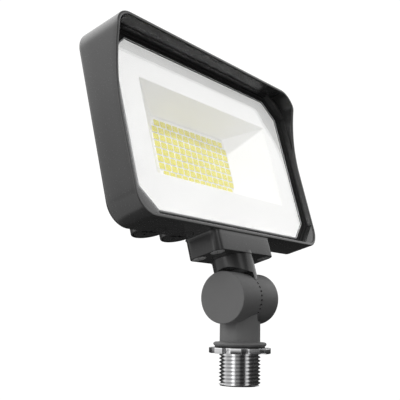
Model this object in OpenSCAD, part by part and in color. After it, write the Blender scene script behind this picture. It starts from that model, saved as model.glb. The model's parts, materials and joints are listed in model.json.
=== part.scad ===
/* [Knuckle and thread] */
// Height of the hinge axis above the lower face of the flange
hinge_rise = 24.1; // [22:0.1:32]
// Backward tilt of the lamp head in the pose drawn
rest_tilt = 15.7; // [0:0.1:40]
// Radius of the knuckle discs
knuckle_r = 13.1; // [12.4:0.1:14.5]
// Length of each knuckle half along the hinge axis
knuckle_half = 16.64; // [15.5:0.02:19]
// Gap between the two serrated faces
face_gap = 0.1; // [0.06:0.02:0.2]
// Number of teeth on each serrated face
tooth_count = 36; // [24:1:40]
// Depth of the tooth notches
tooth_depth = 1.1; // [0.6:0.05:1.3]
// Clearance of an arm over the other knuckle half
arm_clear = 2.2; // [1.6:0.1:3]
// Radius of the wire chamber in each knuckle half
chamber_r = 8; // [7:0.1:8.4]
// Depth of the wire chamber in each knuckle half
chamber_depth = 7.5; // [5.5:0.1:8.5]
// Radius of the channel that joins a chamber to the wireway
channel_r = 3.8; // [3:0.1:4.2]
// Distance of that channel from the mating faces
channel_in = 5; // [4.6:0.1:5.6]
// Radius of the hinge bolt
bolt_r = 4; // [3:0.1:4.4]
// Radius of the head of the hinge bolt
bolt_head_r = 6.2; // [5.6:0.1:6.8]
// Height of the head of the hinge bolt
bolt_head_h = 4.7; // [3.5:0.1:5.2]
// Thickness of the washer under the bolt head
washer_t = 0.8; // [0.5:0.1:1.2]
// Radius of the stem below the knuckle
stem_r = 10.35; // [10:0.05:12]
// Radius of the flange at the foot of the stem
flange_r = 13.6; // [13:0.1:18]
// Thickness of the flange
flange_t = 2; // [1.5:0.1:4]
// Thickness of the rubber gasket under the flange
gasket_t = 0.75; // [0.5:0.05:2]
// Outer radius of the rubber gasket under the flange
gasket_r = 12.8; // [11.5:0.1:12.9]
// Thickness of the locknut
nut_t = 2.8; // [2:0.1:5]
// Radius of the locknut between its lugs
nut_r = 13.2; // [12.6:0.1:14.4]
// Radius over the lugs of the locknut
nut_lug_r = 15.5; // [14.8:0.1:17]
// Number of lugs around the locknut
nut_lugs = 10; // [6:1:12]
// Radius over the crests of the pipe thread
thread_r = 10.6; // [10.4:0.05:11]
// Radius at the roots of the pipe thread
thread_root_r = 9.4; // [9:0.05:9.8]
// Pitch of the pipe thread
thread_pitch = 1.814; // [1.6:0.002:2.2]
// Length of free thread below the locknut
thread_free = 16; // [12:0.1:24]
// Radius of the wireway through the threaded nipple
wireway_r = 6.4; // [5.5:0.1:7]
// Radius of the smooth shank of the nipple inside the stem
shank_r = 8.6; // [8:0.05:8.8]
// Length of the smooth shank inside the stem
shank_len = 5.6; // [4:0.1:6]

/* [Mounting block] */
// Width of the block under the lamp head
block_w = 53; // [50:0.2:54]
// Depth of the block, front to back
block_d = 20.8; // [20.2:0.1:21.2]
// Distance of the block's middle in front of the hinge axis
block_forward = 0.8; // [0.6:0.1:1]
// Distance of the block's lower face above the hinge axis
block_up = 21; // [20:0.1:24]
// Height of the cast pad on the housing that the block sits against
pad_h = 2; // [1.8:0.1:3]
// Radius of the block's upright corners
block_corner = 4.5; // [2:0.1:6]
// Radius of the round neck between block and knuckle
neck_r = 10.8; // [10.4:0.1:12]
// Distance of the block screws from the sides of the block
block_screw_in = 4.6; // [4.4:0.1:4.8]
// Radius of the block screws
block_screw_r = 2; // [1.5:0.1:2.2]
// Radius of the heads of the block screws
block_head_r = 3.7; // [3.2:0.1:3.9]
// Height of the heads of the block screws
block_head_h = 1.3; // [1:0.1:1.6]
// Width of the gasket on top of the block
block_seal_w = 34; // [20:0.5:34]
// Depth of the gasket on top of the block, front to back
block_seal_d = 16; // [15:0.1:17]
// Thickness of the gasket on top of the block
block_seal_h = 0.55; // [0.4:0.05:1]

/* [Housing] */
// Width of the lamp head
head_w = 167.4; // [164:0.2:200]
// Height of the lamp head
head_h = 102; // [100:0.2:130]
// Distance of the housing's underside above the hinge axis
head_up = 31.6; // [31:0.1:38]
// Radius of the housing's corners seen from the front
corner_r = 11.6; // [8:0.1:14]
// Distance of the front rim in front of the hinge axis
rim_front = 11.8; // [11.4:0.1:16]
// Distance of the back of the outer band behind the hinge axis
band_back = 7.5; // [7:0.1:10]
// Radius of the rounded back edge of the band
band_edge = 2.5; // [1:0.1:3.5]
// Wall of the rim and the visor
rim_wall = 1.4; // [1.2:0.1:2.2]
// Wall of the body behind the lens
body_wall = 2.2; // [1.8:0.1:3]
// Height on the head where the visor starts to sweep forward
visor_start = 48.4; // [40:0.2:52]
// Radius of the visor's forward sweep
visor_sweep_r = 123; // [110:1:160]
// Angle that the visor's forward sweep turns through
visor_sweep = 19.7; // [10:0.1:20]
// Radius of the visor's return to upright
visor_lip_r = 12; // [6:0.5:16]
// Distance of the lens seat in front of the hinge axis
seat_front = 4.8; // [4.6:0.1:5.4]
// Thickness of the ledge that carries the reflector
ledge_t = 2; // [1.5:0.1:2.5]
// Overlap of the ledge behind the edge of the lens
ledge_in = 4; // [3:0.1:5]
// Distance of the lens seat's corner walls from the lens corners
corner_gap = 4.7; // [4:0.1:5.2]
// Half width of the raised middle of the back
back_half_w = 65; // [60:0.5:74]
// Half height of the raised middle of the back
back_half_h = 39; // [36:0.5:42]
// Radius of the corners of the raised middle of the back
back_corner = 8; // [6.5:0.5:12]
// Wall around the raised middle of the back
back_wall = 4; // [3:0.1:5]
// Thickness of the heat sink wall behind the light source board
sink_t = 3.4; // [2.5:0.1:5]
// Height of the cooling fins
fin_h = 8; // [5:0.5:9]
// Thickness of a cooling fin
fin_t = 1.8; // [1.2:0.1:2.5]
// Spacing of the cooling fins
fin_pitch = 5; // [4:0.1:8]
// Number of cooling fins on each side of the middle one
fin_side = 11; // [9:1:11]

/* [Lens and reflector] */
// Distance of the glass lens from each side of the housing
lens_side = 7.35; // [7:0.05:9]
// Distance of the lens's upper edge below the housing's top
lens_top = 5.1; // [4.6:0.1:6]
// Distance of the lens's lower edge above the housing's underside
lens_up = 5; // [4.6:0.1:6]
// Width of the cut at each lens corner
lens_cut_x = 11.5; // [8:0.1:14]
// Height of the cut at each lens corner
lens_cut_z = 10.6; // [8:0.1:14]
// Thickness of the glass lens
lens_t = 2; // [1.5:0.1:2.4]
// Gap between glass and sealing ring
seal_gap = 0.3; // [0.2:0.05:0.5]
// Height of the sealing ring's raised outer lip
seal_lip = 1.1; // [0.6:0.1:1.6]
// Width of the sealing ring's raised outer lip
seal_lip_w = 1.4; // [1:0.1:2]
// Distance of the reflector's window from each side of the lens
window_side = 17.9; // [14:0.1:22]
// Distance of the window below the lens's upper edge
window_top = 20.15; // [18:0.05:24]
// Distance of the window above the lens's lower edge
window_up = 19.55; // [18:0.05:24]
// Width of the reflector's floor opening
floor_w = 71.2; // [70:0.1:78]
// Height of the reflector's floor opening
floor_h = 38; // [34:0.1:42]
// Width of the cut at each corner of the floor opening
floor_cut_x = 2.6; // [1:0.1:5]
// Height of the cut at each corner of the floor opening
floor_cut_z = 9.5; // [4:0.1:12]
// Thickness of the reflector's flange and walls
reflector_t = 1; // [0.8:0.1:1.2]

/* [Light source] */
// Distance of the board's front face behind the hinge axis
board_front = 10.5; // [9.5:0.1:12]
// Width of the light source board
board_w = 92; // [84:0.5:104]
// Height of the light source board
board_h = 54; // [48:0.5:60]
// Thickness of the light source board
board_t = 1.6; // [1:0.1:2]
// Thickness of the heat pad behind the board
pad_t = 0.5; // [0.3:0.1:1]
// Width of one diode package
led_w = 4.3; // [3:0.1:4.8]
// Height of one diode package
led_h = 3.3; // [2.4:0.1:3.8]
// Thickness of one diode package
led_t = 0.7; // [0.4:0.1:1]
// Spacing of the diodes across the board
led_pitch_x = 5.365; // [5:0.005:5.4]
// Spacing of the diode rows
led_pitch_z = 4.254; // [4:0.002:4.4]
// Number of diodes in a full row
led_cols = 13; // [9:1:13]
// Number of diode rows
led_rows = 8; // [4:1:8]
// Radius of the board screws
board_screw_r = 1.4; // [1.1:0.1:1.6]
// Inset of the board screws from the board's edge
board_screw_in = 4; // [3:0.1:6]

/* [Driver] */
// Half width of the driver compartment
box_half_w = 44; // [42:0.5:46]
// Half height of the driver compartment
box_half_h = 30.5; // [29:0.5:32]
// Depth of the driver compartment behind the heat sink wall
box_depth = 17; // [15:0.5:22]
// Wall of the driver compartment
box_wall = 2.5; // [2:0.1:3]
// Radius of the driver compartment's corners
box_corner = 5; // [4:0.5:8]
// Thickness of the back cover
cover_t = 3; // [2.6:0.1:4]
// Overhang of the back cover around the compartment
cover_lip = 1.6; // [0.5:0.1:2.5]
// Thickness of the back cover's gasket
cover_seal_t = 0.8; // [0.5:0.1:1.5]
// Radius of the screws of the cover and the driver
small_screw_r = 1.6; // [1.3:0.1:1.8]
// Inset of the cover screws from the compartment's outside
cover_screw_in = 6; // [5.4:0.1:7]
// Depth that the cover screws reach into the compartment's screw posts
cover_screw_grip = 8; // [6:0.5:10]
// Distance of the driver board's sides from the sides of the compartment
driver_side = 14; // [13:0.5:18]
// Distance of the driver board's long edges from the compartment's outside
driver_top = 12; // [11.5:0.5:13.5]
// Width of the transformer
coil_w = 18; // [12:0.5:20]
// Height of the transformer across the driver board
coil_h = 16; // [12:0.5:20]
// Height of the parts on the driver board
part_h = 9.2; // [7:0.1:9.5]
// Radius of the large capacitor
can_r = 5; // [3:0.1:6]
// Radius of the small capacitors
small_can_r = 3.6; // [2.5:0.1:4]
// Outer radius of a wound inductor
ring_r = 4.6; // [3.5:0.1:5]
// Radius of an inductor's hole
ring_hole_r = 1.8; // [1:0.1:2.4]
// Distance of the outer parts from the sides of the driver board
part_in = 11; // [9:0.5:12]
// Depth of the tray under the driver board
tray_h = 5; // [3:0.1:7]
// Distance of the board leads above the lower edge of the light source board
lead_up = 11; // [10:0.5:14]
// Radius of the hole for the board leads
lead_hole_r = 4.2; // [3.5:0.1:5]
// Radius of one board lead
lead_r = 0.8; // [0.5:0.1:1.1]
// Radius of the breather on the back cover
vent_r = 6; // [4:0.1:8]

/* [Selectors] */
// Distance of the colour plug's middle from the side of the block
plug_side = 9; // [8.8:0.1:10]
// Spacing of the two plugs
plug_pitch = 21.7; // [19:0.1:22]
// Distance of the plugs behind the hinge axis
plug_back = 5.45; // [5:0.05:5.8]
// Radius of a plug's boss
boss_r = 9; // [8.8:0.1:9.2]
// Height of a plug
plug_h = 3.6; // [3:0.1:4.5]
// Radius of a plug
plug_r = 7.7; // [7:0.05:7.8]
// Running gap around a plug
plug_gap = 0.08; // [0.04:0.01:0.1]
// Length of each arm of the cross slot
slot_arm = 4.65; // [3:0.05:5.5]
// Width of the cross slot
slot_w = 1.3; // [0.8:0.1:2]
// Depth of the cross slot
slot_depth = 1.2; // [0.6:0.1:1.6]
// Turn of the cross slots in the pose drawn
slot_turn = -8; // [-45:1:45]
// Radius of a selector dial
dial_r = 2.4; // [1.8:0.1:2.5]
// Distance of the dials behind the hinge axis
dial_back = 2; // [1.7:0.1:2.1]
// Radius of a dial's shaft
dial_shaft_r = 1.5; // [1:0.1:1.7]
// Width of a rotary switch
switch_w = 10; // [7:0.1:12]
// Depth of a rotary switch, front to back
switch_d = 6; // [5:0.1:6.2]
// Height of a rotary switch
switch_h = 5; // [4:0.1:7]
// Height of the rotary switches above the plugs' wells
switch_up = 3; // [2.4:0.1:4]
// Thickness of the small board that carries the switches
selector_t = 1.2; // [0.8:0.1:1.8]

/* [Hidden] */
$fn = 64;

eps = 0.01;
over = 1;
body_grey = [0.3, 0.31, 0.31];
steel = [0.72, 0.73, 0.74];
black_rubber = [0.07, 0.07, 0.07];

flange_z = nut_t + gasket_t;
hinge_z = flange_z + hinge_rise;
clear_r = knuckle_r + arm_clear;
shank_top = flange_z + shank_len;
boss_core = bolt_r + 1.2;
seal_r = chamber_r + 1.8;
tooth_in = seal_r + 0.2;
bolt_sink = 0.64;
seat_x = knuckle_half - bolt_head_h - washer_t - bolt_sink;
running = 0.05;

head_mid_z = head_up + head_h / 2;
lens_w = head_w - 2 * lens_side;
lens_h = head_h - lens_top - lens_up;
window_w = lens_w - 2 * window_side;
window_h = lens_h - window_top - window_up;
window_drop = (window_top - window_up) / 2;
lens_mid_z = head_up + lens_up + lens_h / 2;
lens_back = seat_front + reflector_t + 0.2;
lens_face = lens_back + lens_t;
visor_front = rim_front + visor_sweep_r * (1 - cos(visor_sweep)) + visor_lip_r * (1 - cos(visor_sweep));
sink_front = board_front + board_t + pad_t;
sink_back = sink_front + sink_t;
box_back = sink_back + box_depth;
pocket_back = band_back - body_wall;
pad_z = head_up - pad_h;
seal_t = reflector_t + 0.9;
cover_front = box_back + cover_seal_t;
cover_back = cover_front + cover_t;
lead_z = lens_mid_z - board_h / 2 + lead_up;
lead_x = 2.2;
tray_front = sink_back + 0.3;
driver_front = tray_front + tray_h;
driver_t = 1.6;
driver_w = 2 * (box_half_w - driver_side);
driver_h = 2 * (box_half_h - driver_top);
driver_back = driver_front + driver_t;
colour_x = -block_w / 2 - plug_side;
plug_xs = [colour_x - plug_pitch, colour_x];
plug_seal_t = 0.6;
plug_sink = 0.1;
plug_top = head_up + plug_sink + plug_h;
well_z = plug_top + 0.1 + plug_seal_t;
well_roof = 1.6;
switch_z = well_z + well_roof + switch_up;

// Places its children in the tilted frame of the lamp head, whose origin is the hinge axis
module on_head() {
    translate([0, 0, hinge_z]) rotate([-rest_tilt, 0, 0]) children();
}

// Extrudes an outline drawn in x and height between two depths
module panel(front, back) {
    translate([0, back, 0]) rotate([90, 0, 0]) linear_extrude(back - front) children();
}

module rounded_rect(w, h, r) {
    square([w - 2 * r, h], center = true);
    square([w, h - 2 * r], center = true);
    for (x = [-1, 1], y = [-1, 1]) translate([x * (w / 2 - r), y * (h / 2 - r)]) circle(r);
}

// Rectangle with cut corners
module cut_rect(w, h, cx, cz) {
    polygon([[w / 2, cz - h / 2], [w / 2, h / 2 - cz], [w / 2 - cx, h / 2], [cx - w / 2, h / 2],
        [-w / 2, h / 2 - cz], [-w / 2, cz - h / 2], [cx - w / 2, -h / 2], [w / 2 - cx, -h / 2]]);
}

// Outline of the lens, grown evenly on all its sides
module lens_outline(grow) {
    slant = norm([lens_cut_x, lens_cut_z]);
    cx = lens_cut_x + grow - grow * (1 - lens_cut_x / slant) * slant / lens_cut_z;
    cz = lens_cut_z + grow - grow * (1 - lens_cut_z / slant) * slant / lens_cut_x;
    cut_rect(lens_w + 2 * grow, lens_h + 2 * grow, cx, cz);
}

// Outline of the recess that the lens lies in
module recess_outline(shrink) {
    w = head_w / 2 - rim_wall - shrink;
    low = head_up + rim_wall + shrink - lens_mid_z;
    high = head_up + head_h - rim_wall - shrink - lens_mid_z;
    intersection() {
        translate([-w, low]) square([2 * w, high - low]);
        slant = norm([lens_cut_x, lens_cut_z]);
        grow = corner_gap - shrink;
        far = 3 * corner_gap;
        cx = lens_cut_x + far - (grow * slant - lens_cut_x * far) / lens_cut_z;
        cz = lens_cut_z + far - (grow * slant - lens_cut_z * far) / lens_cut_x;
        cut_rect(lens_w + 2 * far, lens_h + 2 * far, cx, cz);
    }
}

// Outline with its two far corners rounded, for the rounded back edge of the band
module band_profile(span, depth) {
    translate([-span / 2, 0]) square([span, depth - band_edge]);
    translate([band_edge - span / 2, 0]) square([span - 2 * band_edge, depth]);
    for (x = [-1, 1]) translate([x * (span / 2 - band_edge), depth - band_edge]) circle(band_edge);
}

// Outer band of the housing before the visor's outline is cut
module band() {
    depth = visor_front + over + band_back;
    translate([0, band_back - depth, head_mid_z]) {
        linear_extrude(head_h - 2 * corner_r, center = true) band_profile(head_w, depth);
        rotate([0, -90, 0]) linear_extrude(head_w - 2 * corner_r, center = true)
            band_profile(head_h, depth);
        for (x = [-1, 1], z = [-1, 1])
            translate([x * (head_w / 2 - corner_r), 0, z * (head_h / 2 - corner_r)])
                rotate([-90, 0, 0]) rotate_extrude() intersection() {
                    band_profile(2 * corner_r, depth);
                    square([corner_r, depth]);
                }
    }
}

// Side outline of the housing: straight rim, forward sweep, return to upright
module side_outline() {
    z0 = head_up + visor_start;
    z1 = z0 + (visor_sweep_r + visor_lip_r) * sin(visor_sweep);
    sweep = [for (i = [0:12]) let (a = visor_sweep * i / 12)
        [-rim_front - visor_sweep_r * (1 - cos(a)), z0 + visor_sweep_r * sin(a)]];
    lip = [for (i = [1:5]) let (a = visor_sweep * (1 - i / 5))
        [visor_lip_r * (1 - cos(a)) - visor_front, z1 - visor_lip_r * sin(a)]];
    polygon(concat([[band_back + over, head_up - over], [-rim_front, head_up - over]], sweep, lip,
        [[-visor_front, head_up + head_h + over], [band_back + over, head_up + head_h + over]]));
}

module side_cut() {
    rotate([90, 0, 90]) linear_extrude(head_w + 2 * over, center = true) side_outline();
}

// Upright cooling fin whose free ends slope back
module fin(low, high, low_slope, high_slope) {
    root = sink_back - eps;
    rotate([90, 0, 90]) linear_extrude(fin_t, center = true)
        polygon([[root, low], [root, high], [sink_back + fin_h, high - high_slope],
            [sink_back + fin_h, low + low_slope]]);
}

// Cooling fins, broken where the driver compartment stands
module fins() {
    reach = back_half_h - 2;
    low = lens_mid_z - reach;
    high = lens_mid_z + reach;
    slope = 0.6 * min(fin_h, reach - box_half_h);
    for (i = [-fin_side:fin_side]) translate([i * fin_pitch, 0, 0])
        if (abs(i * fin_pitch) > box_half_w + fin_t) {
            fin(low, high, slope, slope);
        } else {
            fin(low, lens_mid_z - box_half_h + eps, slope, 0);
            fin(lens_mid_z + box_half_h - eps, high, 0, slope);
        }
}

// Places children at the cover screws
module cover_screw_places() {
    x = box_half_w - cover_screw_in;
    z = box_half_h - cover_screw_in;
    for (p = [[-x, -z], [0, -z], [x, -z], [-x, z], [0, z], [x, z]])
        translate([p[0], 0, lens_mid_z + p[1]]) children();
}

module board_screw_places() {
    x = board_w / 2 - board_screw_in;
    z = board_h / 2 - board_screw_in;
    for (p = [[-x, -z], [x, -z], [-x, z], [x, z]]) translate([p[0], 0, lens_mid_z + p[1]]) children();
}

module driver_screw_places() {
    x = driver_w / 2 - 3.5;
    z = driver_h / 2 - 3.5;
    for (p = [[-x, -z], [x, -z], [-x, z], [x, z]]) translate([p[0], 0, lens_mid_z + p[1]]) children();
}

module block_screw_places() {
    screw_x = block_w / 2 - block_screw_in;
    screw_y = block_d / 2 - block_screw_in;
    for (x = [-1, 1], y = [-1, 1])
        translate([x * screw_x, y * screw_y - block_forward, 0]) children();
}

// Places children at the plugs, on the housing's underside
module plug_places() {
    for (x = plug_xs) translate([x, plug_back, head_up]) children();
}

// Cylinder whose axis runs from front to back
module rod_y(r, front, back) {
    translate([0, front, 0]) rotate([-90, 0, 0]) cylinder(r = r, h = back - front);
}

// Cylinder whose axis is the hinge axis
module rod_x(r, left, right) {
    translate([left, 0, 0]) rotate([0, 90, 0]) cylinder(r = r, h = right - left);
}

// Pan-head screw with a cross recess, its shank pointing up
module screw_up(head_r, head_t, r, len) {
    difference() {
        union() {
            translate([0, 0, -head_t]) cylinder(r = head_r, h = head_t);
            cylinder(r = r, h = len);
        }
        for (a = [0, 90]) rotate([0, 0, a])
            translate([-head_r * 0.55, -0.35, -head_t - eps]) cube([head_r * 1.1, 0.7, head_t * 0.6]);
    }
}

// The same screw with its shank pointing to the front
module screw_in(head_r, head_t, r, len) {
    rotate([90, 0, 0]) screw_up(head_r, head_t, r, len);
}

// One knuckle half, drawn on the plus side of the hinge axis, before its bores
module knuckle_disc() {
    bevel = 0.5;
    rotate([90, 0, 90]) rotate_extrude()
        polygon([[0, face_gap / 2], [knuckle_r, face_gap / 2], [knuckle_r, knuckle_half - bevel],
            [knuckle_r - bevel, knuckle_half], [0, knuckle_half]]);
}

// Notches between the teeth, cut from the face at the hinge's middle plane
module tooth_notches() {
    half = 0.8;
    for (i = [0:tooth_count - 1]) rotate([i * 360 / tooth_count, 0, 0])
        translate([0, 0, tooth_in]) linear_extrude(knuckle_r - tooth_in + over)
            polygon([[-half, -2 * half], [-half, 2 * half], [tooth_depth + face_gap / 2, 0]]);
}

// Wire chamber, seal step and tooth notches of one half, to be cut from it
module knuckle_hollow() {
    difference() {
        rod_x(chamber_r, -over, chamber_depth);
        rod_x(boss_core, -2 * over, chamber_depth + over);
    }
    difference() {
        rod_x(seal_r, -over, 0.9);
        rod_x(chamber_r - eps, -2 * over, over);
    }
    tooth_notches();
}

module lower_knuckle() {
    color(body_grey) difference() {
        union() {
            translate([0, 0, hinge_z]) mirror([1, 0, 0]) knuckle_disc();
            difference() {
                translate([0, 0, flange_z + eps]) cylinder(r = stem_r, h = hinge_rise - eps);
                translate([0, 0, hinge_z]) rod_x(clear_r, -face_gap / 2, knuckle_half + over);
            }
            translate([0, 0, flange_z]) rotate_extrude() {
                polygon([[0, 0], [flange_r - 0.9, 0], [flange_r, flange_t * 0.55],
                    [flange_r - 0.4, flange_t], [0, flange_t]]);
            }
        }
        translate([0, 0, hinge_z]) mirror([1, 0, 0]) knuckle_hollow();
        translate([0, 0, hinge_z]) rod_x(bolt_r + running, 4 - knuckle_half, over);
        translate([0, 0, flange_z - over]) cylinder(r = shank_r + running, h = shank_len + over);
        translate([0, 0, shank_top - eps]) cylinder(r = wireway_r - 0.4, h = 1.5);
        translate([-channel_in, 0, shank_top])
            cylinder(r = channel_r, h = hinge_z - shank_top - boss_core - 0.5);
    }
}

// Threaded tube: its ridges have flat crests joined by straight flanks
module nipple() {
    flat = 0.4;
    turns = floor((thread_free - 1.2) / thread_pitch);
    flank = thread_pitch / 2 - flat;
    root_low = [thread_root_r, -flat - flank];
    root_high = [thread_root_r, -2 * flat - flank];
    ridge = [[thread_r, -flat], root_low, root_high, [thread_r, -thread_pitch]];
    shank = [[wireway_r, shank_top], [shank_r, shank_top], [shank_r, flange_z - 0.2],
        [thread_root_r, flange_z - 0.2], [thread_root_r, 0], [thread_r, 0]];
    ridges = [for (i = [0:turns - 1], p = ridge) [p[0], p[1] - i * thread_pitch]];
    end = [[thread_r, -turns * thread_pitch - flat], [thread_root_r - 0.3, -thread_free],
        [wireway_r, -thread_free]];
    color(steel) rotate_extrude() polygon(concat(shank, ridges, end));
}

module flange_gasket() {
    color(black_rubber) translate([0, 0, nut_t]) difference() {
        cylinder(r = gasket_r, h = gasket_t);
        translate([0, 0, -over]) cylinder(r = thread_root_r + 0.3, h = gasket_t + 2 * over);
    }
}

module locknut() {
    lug_turn = 25.6;
    lug_w = nut_lug_r * 2 * PI * 0.55 / nut_lugs;
    color(steel) difference() {
        linear_extrude(nut_t) {
            circle(nut_r);
            for (i = [0:nut_lugs - 1]) rotate([0, 0, lug_turn + i * 360 / nut_lugs])
                translate([0, -lug_w / 2]) square([nut_lug_r, lug_w]);
        }
        translate([0, 0, -over]) cylinder(r = thread_root_r + running, h = nut_t + 2 * over);
    }
}

module knuckle_bolt() {
    head_x = seat_x + washer_t;
    color(steel) translate([0, 0, hinge_z]) difference() {
        union() {
            rod_x(bolt_r, 5 - knuckle_half, head_x + eps);
            rod_x(bolt_head_r, head_x, head_x + bolt_head_h);
        }
        translate([head_x + bolt_head_h - 3, 0, 0]) rotate([0, 90, 0])
            cylinder(r = bolt_head_r * 0.55, h = 3 + over, $fn = 6);
    }
}

module bolt_washer() {
    color(steel) translate([0, 0, hinge_z]) difference() {
        rod_x(bolt_head_r + 0.5, seat_x, seat_x + washer_t);
        rod_x(bolt_r + 0.2, seat_x - over, seat_x + washer_t + over);
    }
}

module knuckle_seal() {
    color(black_rubber) translate([0, 0, hinge_z]) difference() {
        rod_x(seal_r - 0.3, -0.8, 0.8);
        rod_x(chamber_r + 0.2, -over, over);
    }
}

module upper_knuckle() {
    color(body_grey) on_head() difference() {
        union() {
            knuckle_disc();
            difference() {
                translate([0, -block_forward, 0]) cylinder(r = neck_r, h = block_up + eps);
                rod_x(clear_r, -knuckle_half - over, face_gap / 2);
            }
            translate([0, -block_forward, block_up]) linear_extrude(pad_z - block_up)
                rounded_rect(block_w, block_d, block_corner);
        }
        knuckle_hollow();
        rod_x(bolt_r + running, -over, knuckle_half);
        rod_x(bolt_head_r + 0.8, seat_x, knuckle_half + over);
        translate([channel_in, 0, boss_core + 0.5])
            cylinder(r = channel_r, h = clear_r + 1.7 - boss_core - 0.5 + eps);
        translate([0, 0, clear_r + 1.7]) cylinder(r = wireway_r, h = head_up);
        translate([0, -block_forward, pad_z - block_seal_h - 0.05]) linear_extrude(over)
            square([block_seal_w + 0.2, block_seal_d + 0.2], center = true);
        block_screw_places() {
            cylinder(r = block_screw_r + 0.1, h = head_up);
            translate([0, 0, block_up - over]) cylinder(r = block_head_r + 0.1, h = over + block_head_h);
        }
    }
}

module block_gasket() {
    color(black_rubber) on_head() difference() {
        translate([0, -block_forward, pad_z - block_seal_h - 0.05]) linear_extrude(block_seal_h)
            square([block_seal_w, block_seal_d], center = true);
        translate([0, 0, block_up]) cylinder(r = wireway_r + 0.3, h = head_up);
    }
}

module block_screws() {
    grip_z = head_up + rim_wall - 0.4;
    head_z = block_up + block_head_h;
    color(steel) on_head() block_screw_places() translate([0, 0, head_z])
        screw_up(block_head_r, block_head_h, block_screw_r, grip_z - head_z);
}

// Spaces inside the housing
module housing_hollows() {
    translate([0, 0, lens_mid_z]) {
        panel(-visor_front - over, -seat_front) recess_outline(0);
        panel(-seat_front - over, -seat_front + ledge_t + eps) lens_outline(-ledge_in);
        panel(pocket_back - over, sink_front)
            rounded_rect(2 * (back_half_w - back_wall), 2 * (back_half_h - back_wall),
                back_corner - back_wall / 2);
        panel(sink_back, box_back + over)
            rounded_rect(2 * (box_half_w - box_wall), 2 * (box_half_h - box_wall), box_corner - box_wall);
    }
    translate([0, 0, head_mid_z]) {
        panel(-visor_front - over, -rim_front)
            rounded_rect(head_w - 2 * rim_wall, head_h - 2 * rim_wall, corner_r - rim_wall);
        panel(ledge_t - seat_front, pocket_back)
            rounded_rect(head_w - 2 * body_wall, head_h - 2 * body_wall, corner_r - body_wall);
    }
    translate([0, 0, lead_z]) rod_y(lead_hole_r, sink_front - over, sink_back + over);
    translate([0, 0, pad_z - over]) cylinder(r = wireway_r, h = pad_h + body_wall + 2 * over);
    block_screw_places() translate([0, 0, pad_z - over])
        cylinder(r = block_screw_r + 0.02, h = pad_h + rim_wall + over - 0.3);
}

module housing() {
    boss_h = lens_mid_z - back_half_h + back_corner - head_up;
    color(body_grey) on_head() difference() {
        union() {
            difference() {
                union() {
                    intersection() {
                        band();
                        side_cut();
                    }
                    translate([0, 0, lens_mid_z]) {
                        panel(band_back - over, sink_back)
                            rounded_rect(2 * back_half_w, 2 * back_half_h, back_corner);
                        panel(sink_back - over, box_back)
                            rounded_rect(2 * box_half_w, 2 * box_half_h, box_corner);
                    }
                    fins();
                    plug_places() cylinder(r = boss_r, h = boss_h);
                    translate([0, -block_forward, pad_z]) linear_extrude(pad_h + over)
                        rounded_rect(block_w, block_d, block_corner);
                }
                housing_hollows();
            }
            cover_screw_places() rod_y(3.6, sink_back - eps, box_back);
            plug_places() translate([0, 0, body_wall / 2])
                cylinder(r = boss_r, h = well_z + well_roof - head_up - body_wall / 2);
        }
        plug_places() translate([0, 0, -over]) cylinder(r = plug_r + plug_gap, h = well_z - head_up + over);
        for (x = plug_xs) translate([x, dial_back, well_z - over])
            cylinder(r = dial_r + 0.3, h = well_roof + 2 * over);
        cover_screw_places() rod_y(small_screw_r + 0.02, box_back - cover_screw_grip - 1, box_back + over);
        board_screw_places() rod_y(board_screw_r + 0.02, sink_front - over, sink_back - 0.8);
        driver_screw_places() rod_y(small_screw_r + 0.02, sink_front + 0.8, sink_back + over);
    }
}

module lens() {
    color([0.85, 0.9, 0.92, 0.35]) on_head() translate([0, 0, lens_mid_z])
        panel(-lens_face, -lens_back) lens_outline(0);
}

module lens_seal() {
    color(black_rubber) on_head() translate([0, 0, lens_mid_z]) difference() {
        union() {
            panel(-seat_front - seal_t, -seat_front) recess_outline(0.2);
            panel(-seat_front - seal_t - seal_lip, -seat_front) difference() {
                recess_outline(0.2);
                recess_outline(0.2 + seal_lip_w);
            }
        }
        panel(-visor_front, over - seat_front) lens_outline(seal_gap);
    }
}

// Funnel between the window and the floor opening, grown outward
module funnel(grow, front, back) {
    hull() {
        translate([0, 0, -window_drop]) panel(front, front + eps)
            square([window_w + 2 * grow, window_h + 2 * grow], center = true);
        panel(back - eps, back)
            cut_rect(floor_w + 2 * grow, floor_h + 2 * grow, floor_cut_x + grow, floor_cut_z);
    }
}

module reflector() {
    back = board_front - 0.2;
    color([0.93, 0.93, 0.92]) on_head() translate([0, 0, lens_mid_z]) difference() {
        union() {
            panel(-seat_front - reflector_t, -seat_front) lens_outline(-0.5);
            funnel(reflector_t * 1.3, -seat_front - reflector_t, back);
        }
        funnel(0, -seat_front - reflector_t - eps, back + eps);
        panel(-lens_face, eps - seat_front - reflector_t) square([window_w, window_h], center = true);
    }
}

module led_board() {
    color([0.92, 0.92, 0.9]) on_head() difference() {
        translate([0, 0, lens_mid_z]) panel(board_front, board_front + board_t)
            rounded_rect(board_w, board_h, 2);
        board_screw_places() rod_y(board_screw_r + 0.2, board_front - over, sink_front);
    }
}

// Diode packages: full rows, with a shorter, shifted row at the top and the bottom
module leds() {
    color([0.9, 0.85, 0.35]) on_head() for (row = [0:led_rows - 1]) {
        count = row == 0 || row == led_rows - 1 ? led_cols - 1 : led_cols;
        for (col = [0:count - 1])
            translate([(col - (count - 1) / 2) * led_pitch_x, board_front - led_t / 2,
                lens_mid_z + (row - (led_rows - 1) / 2) * led_pitch_z])
                cube([led_w, led_t, led_h], center = true);
    }
}

module board_screws() {
    color(steel) on_head() board_screw_places() translate([0, board_front, 0]) rotate([0, 0, 180])
        screw_in(2.6, 1.6, board_screw_r, sink_back - board_front - 1.2);
}

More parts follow.
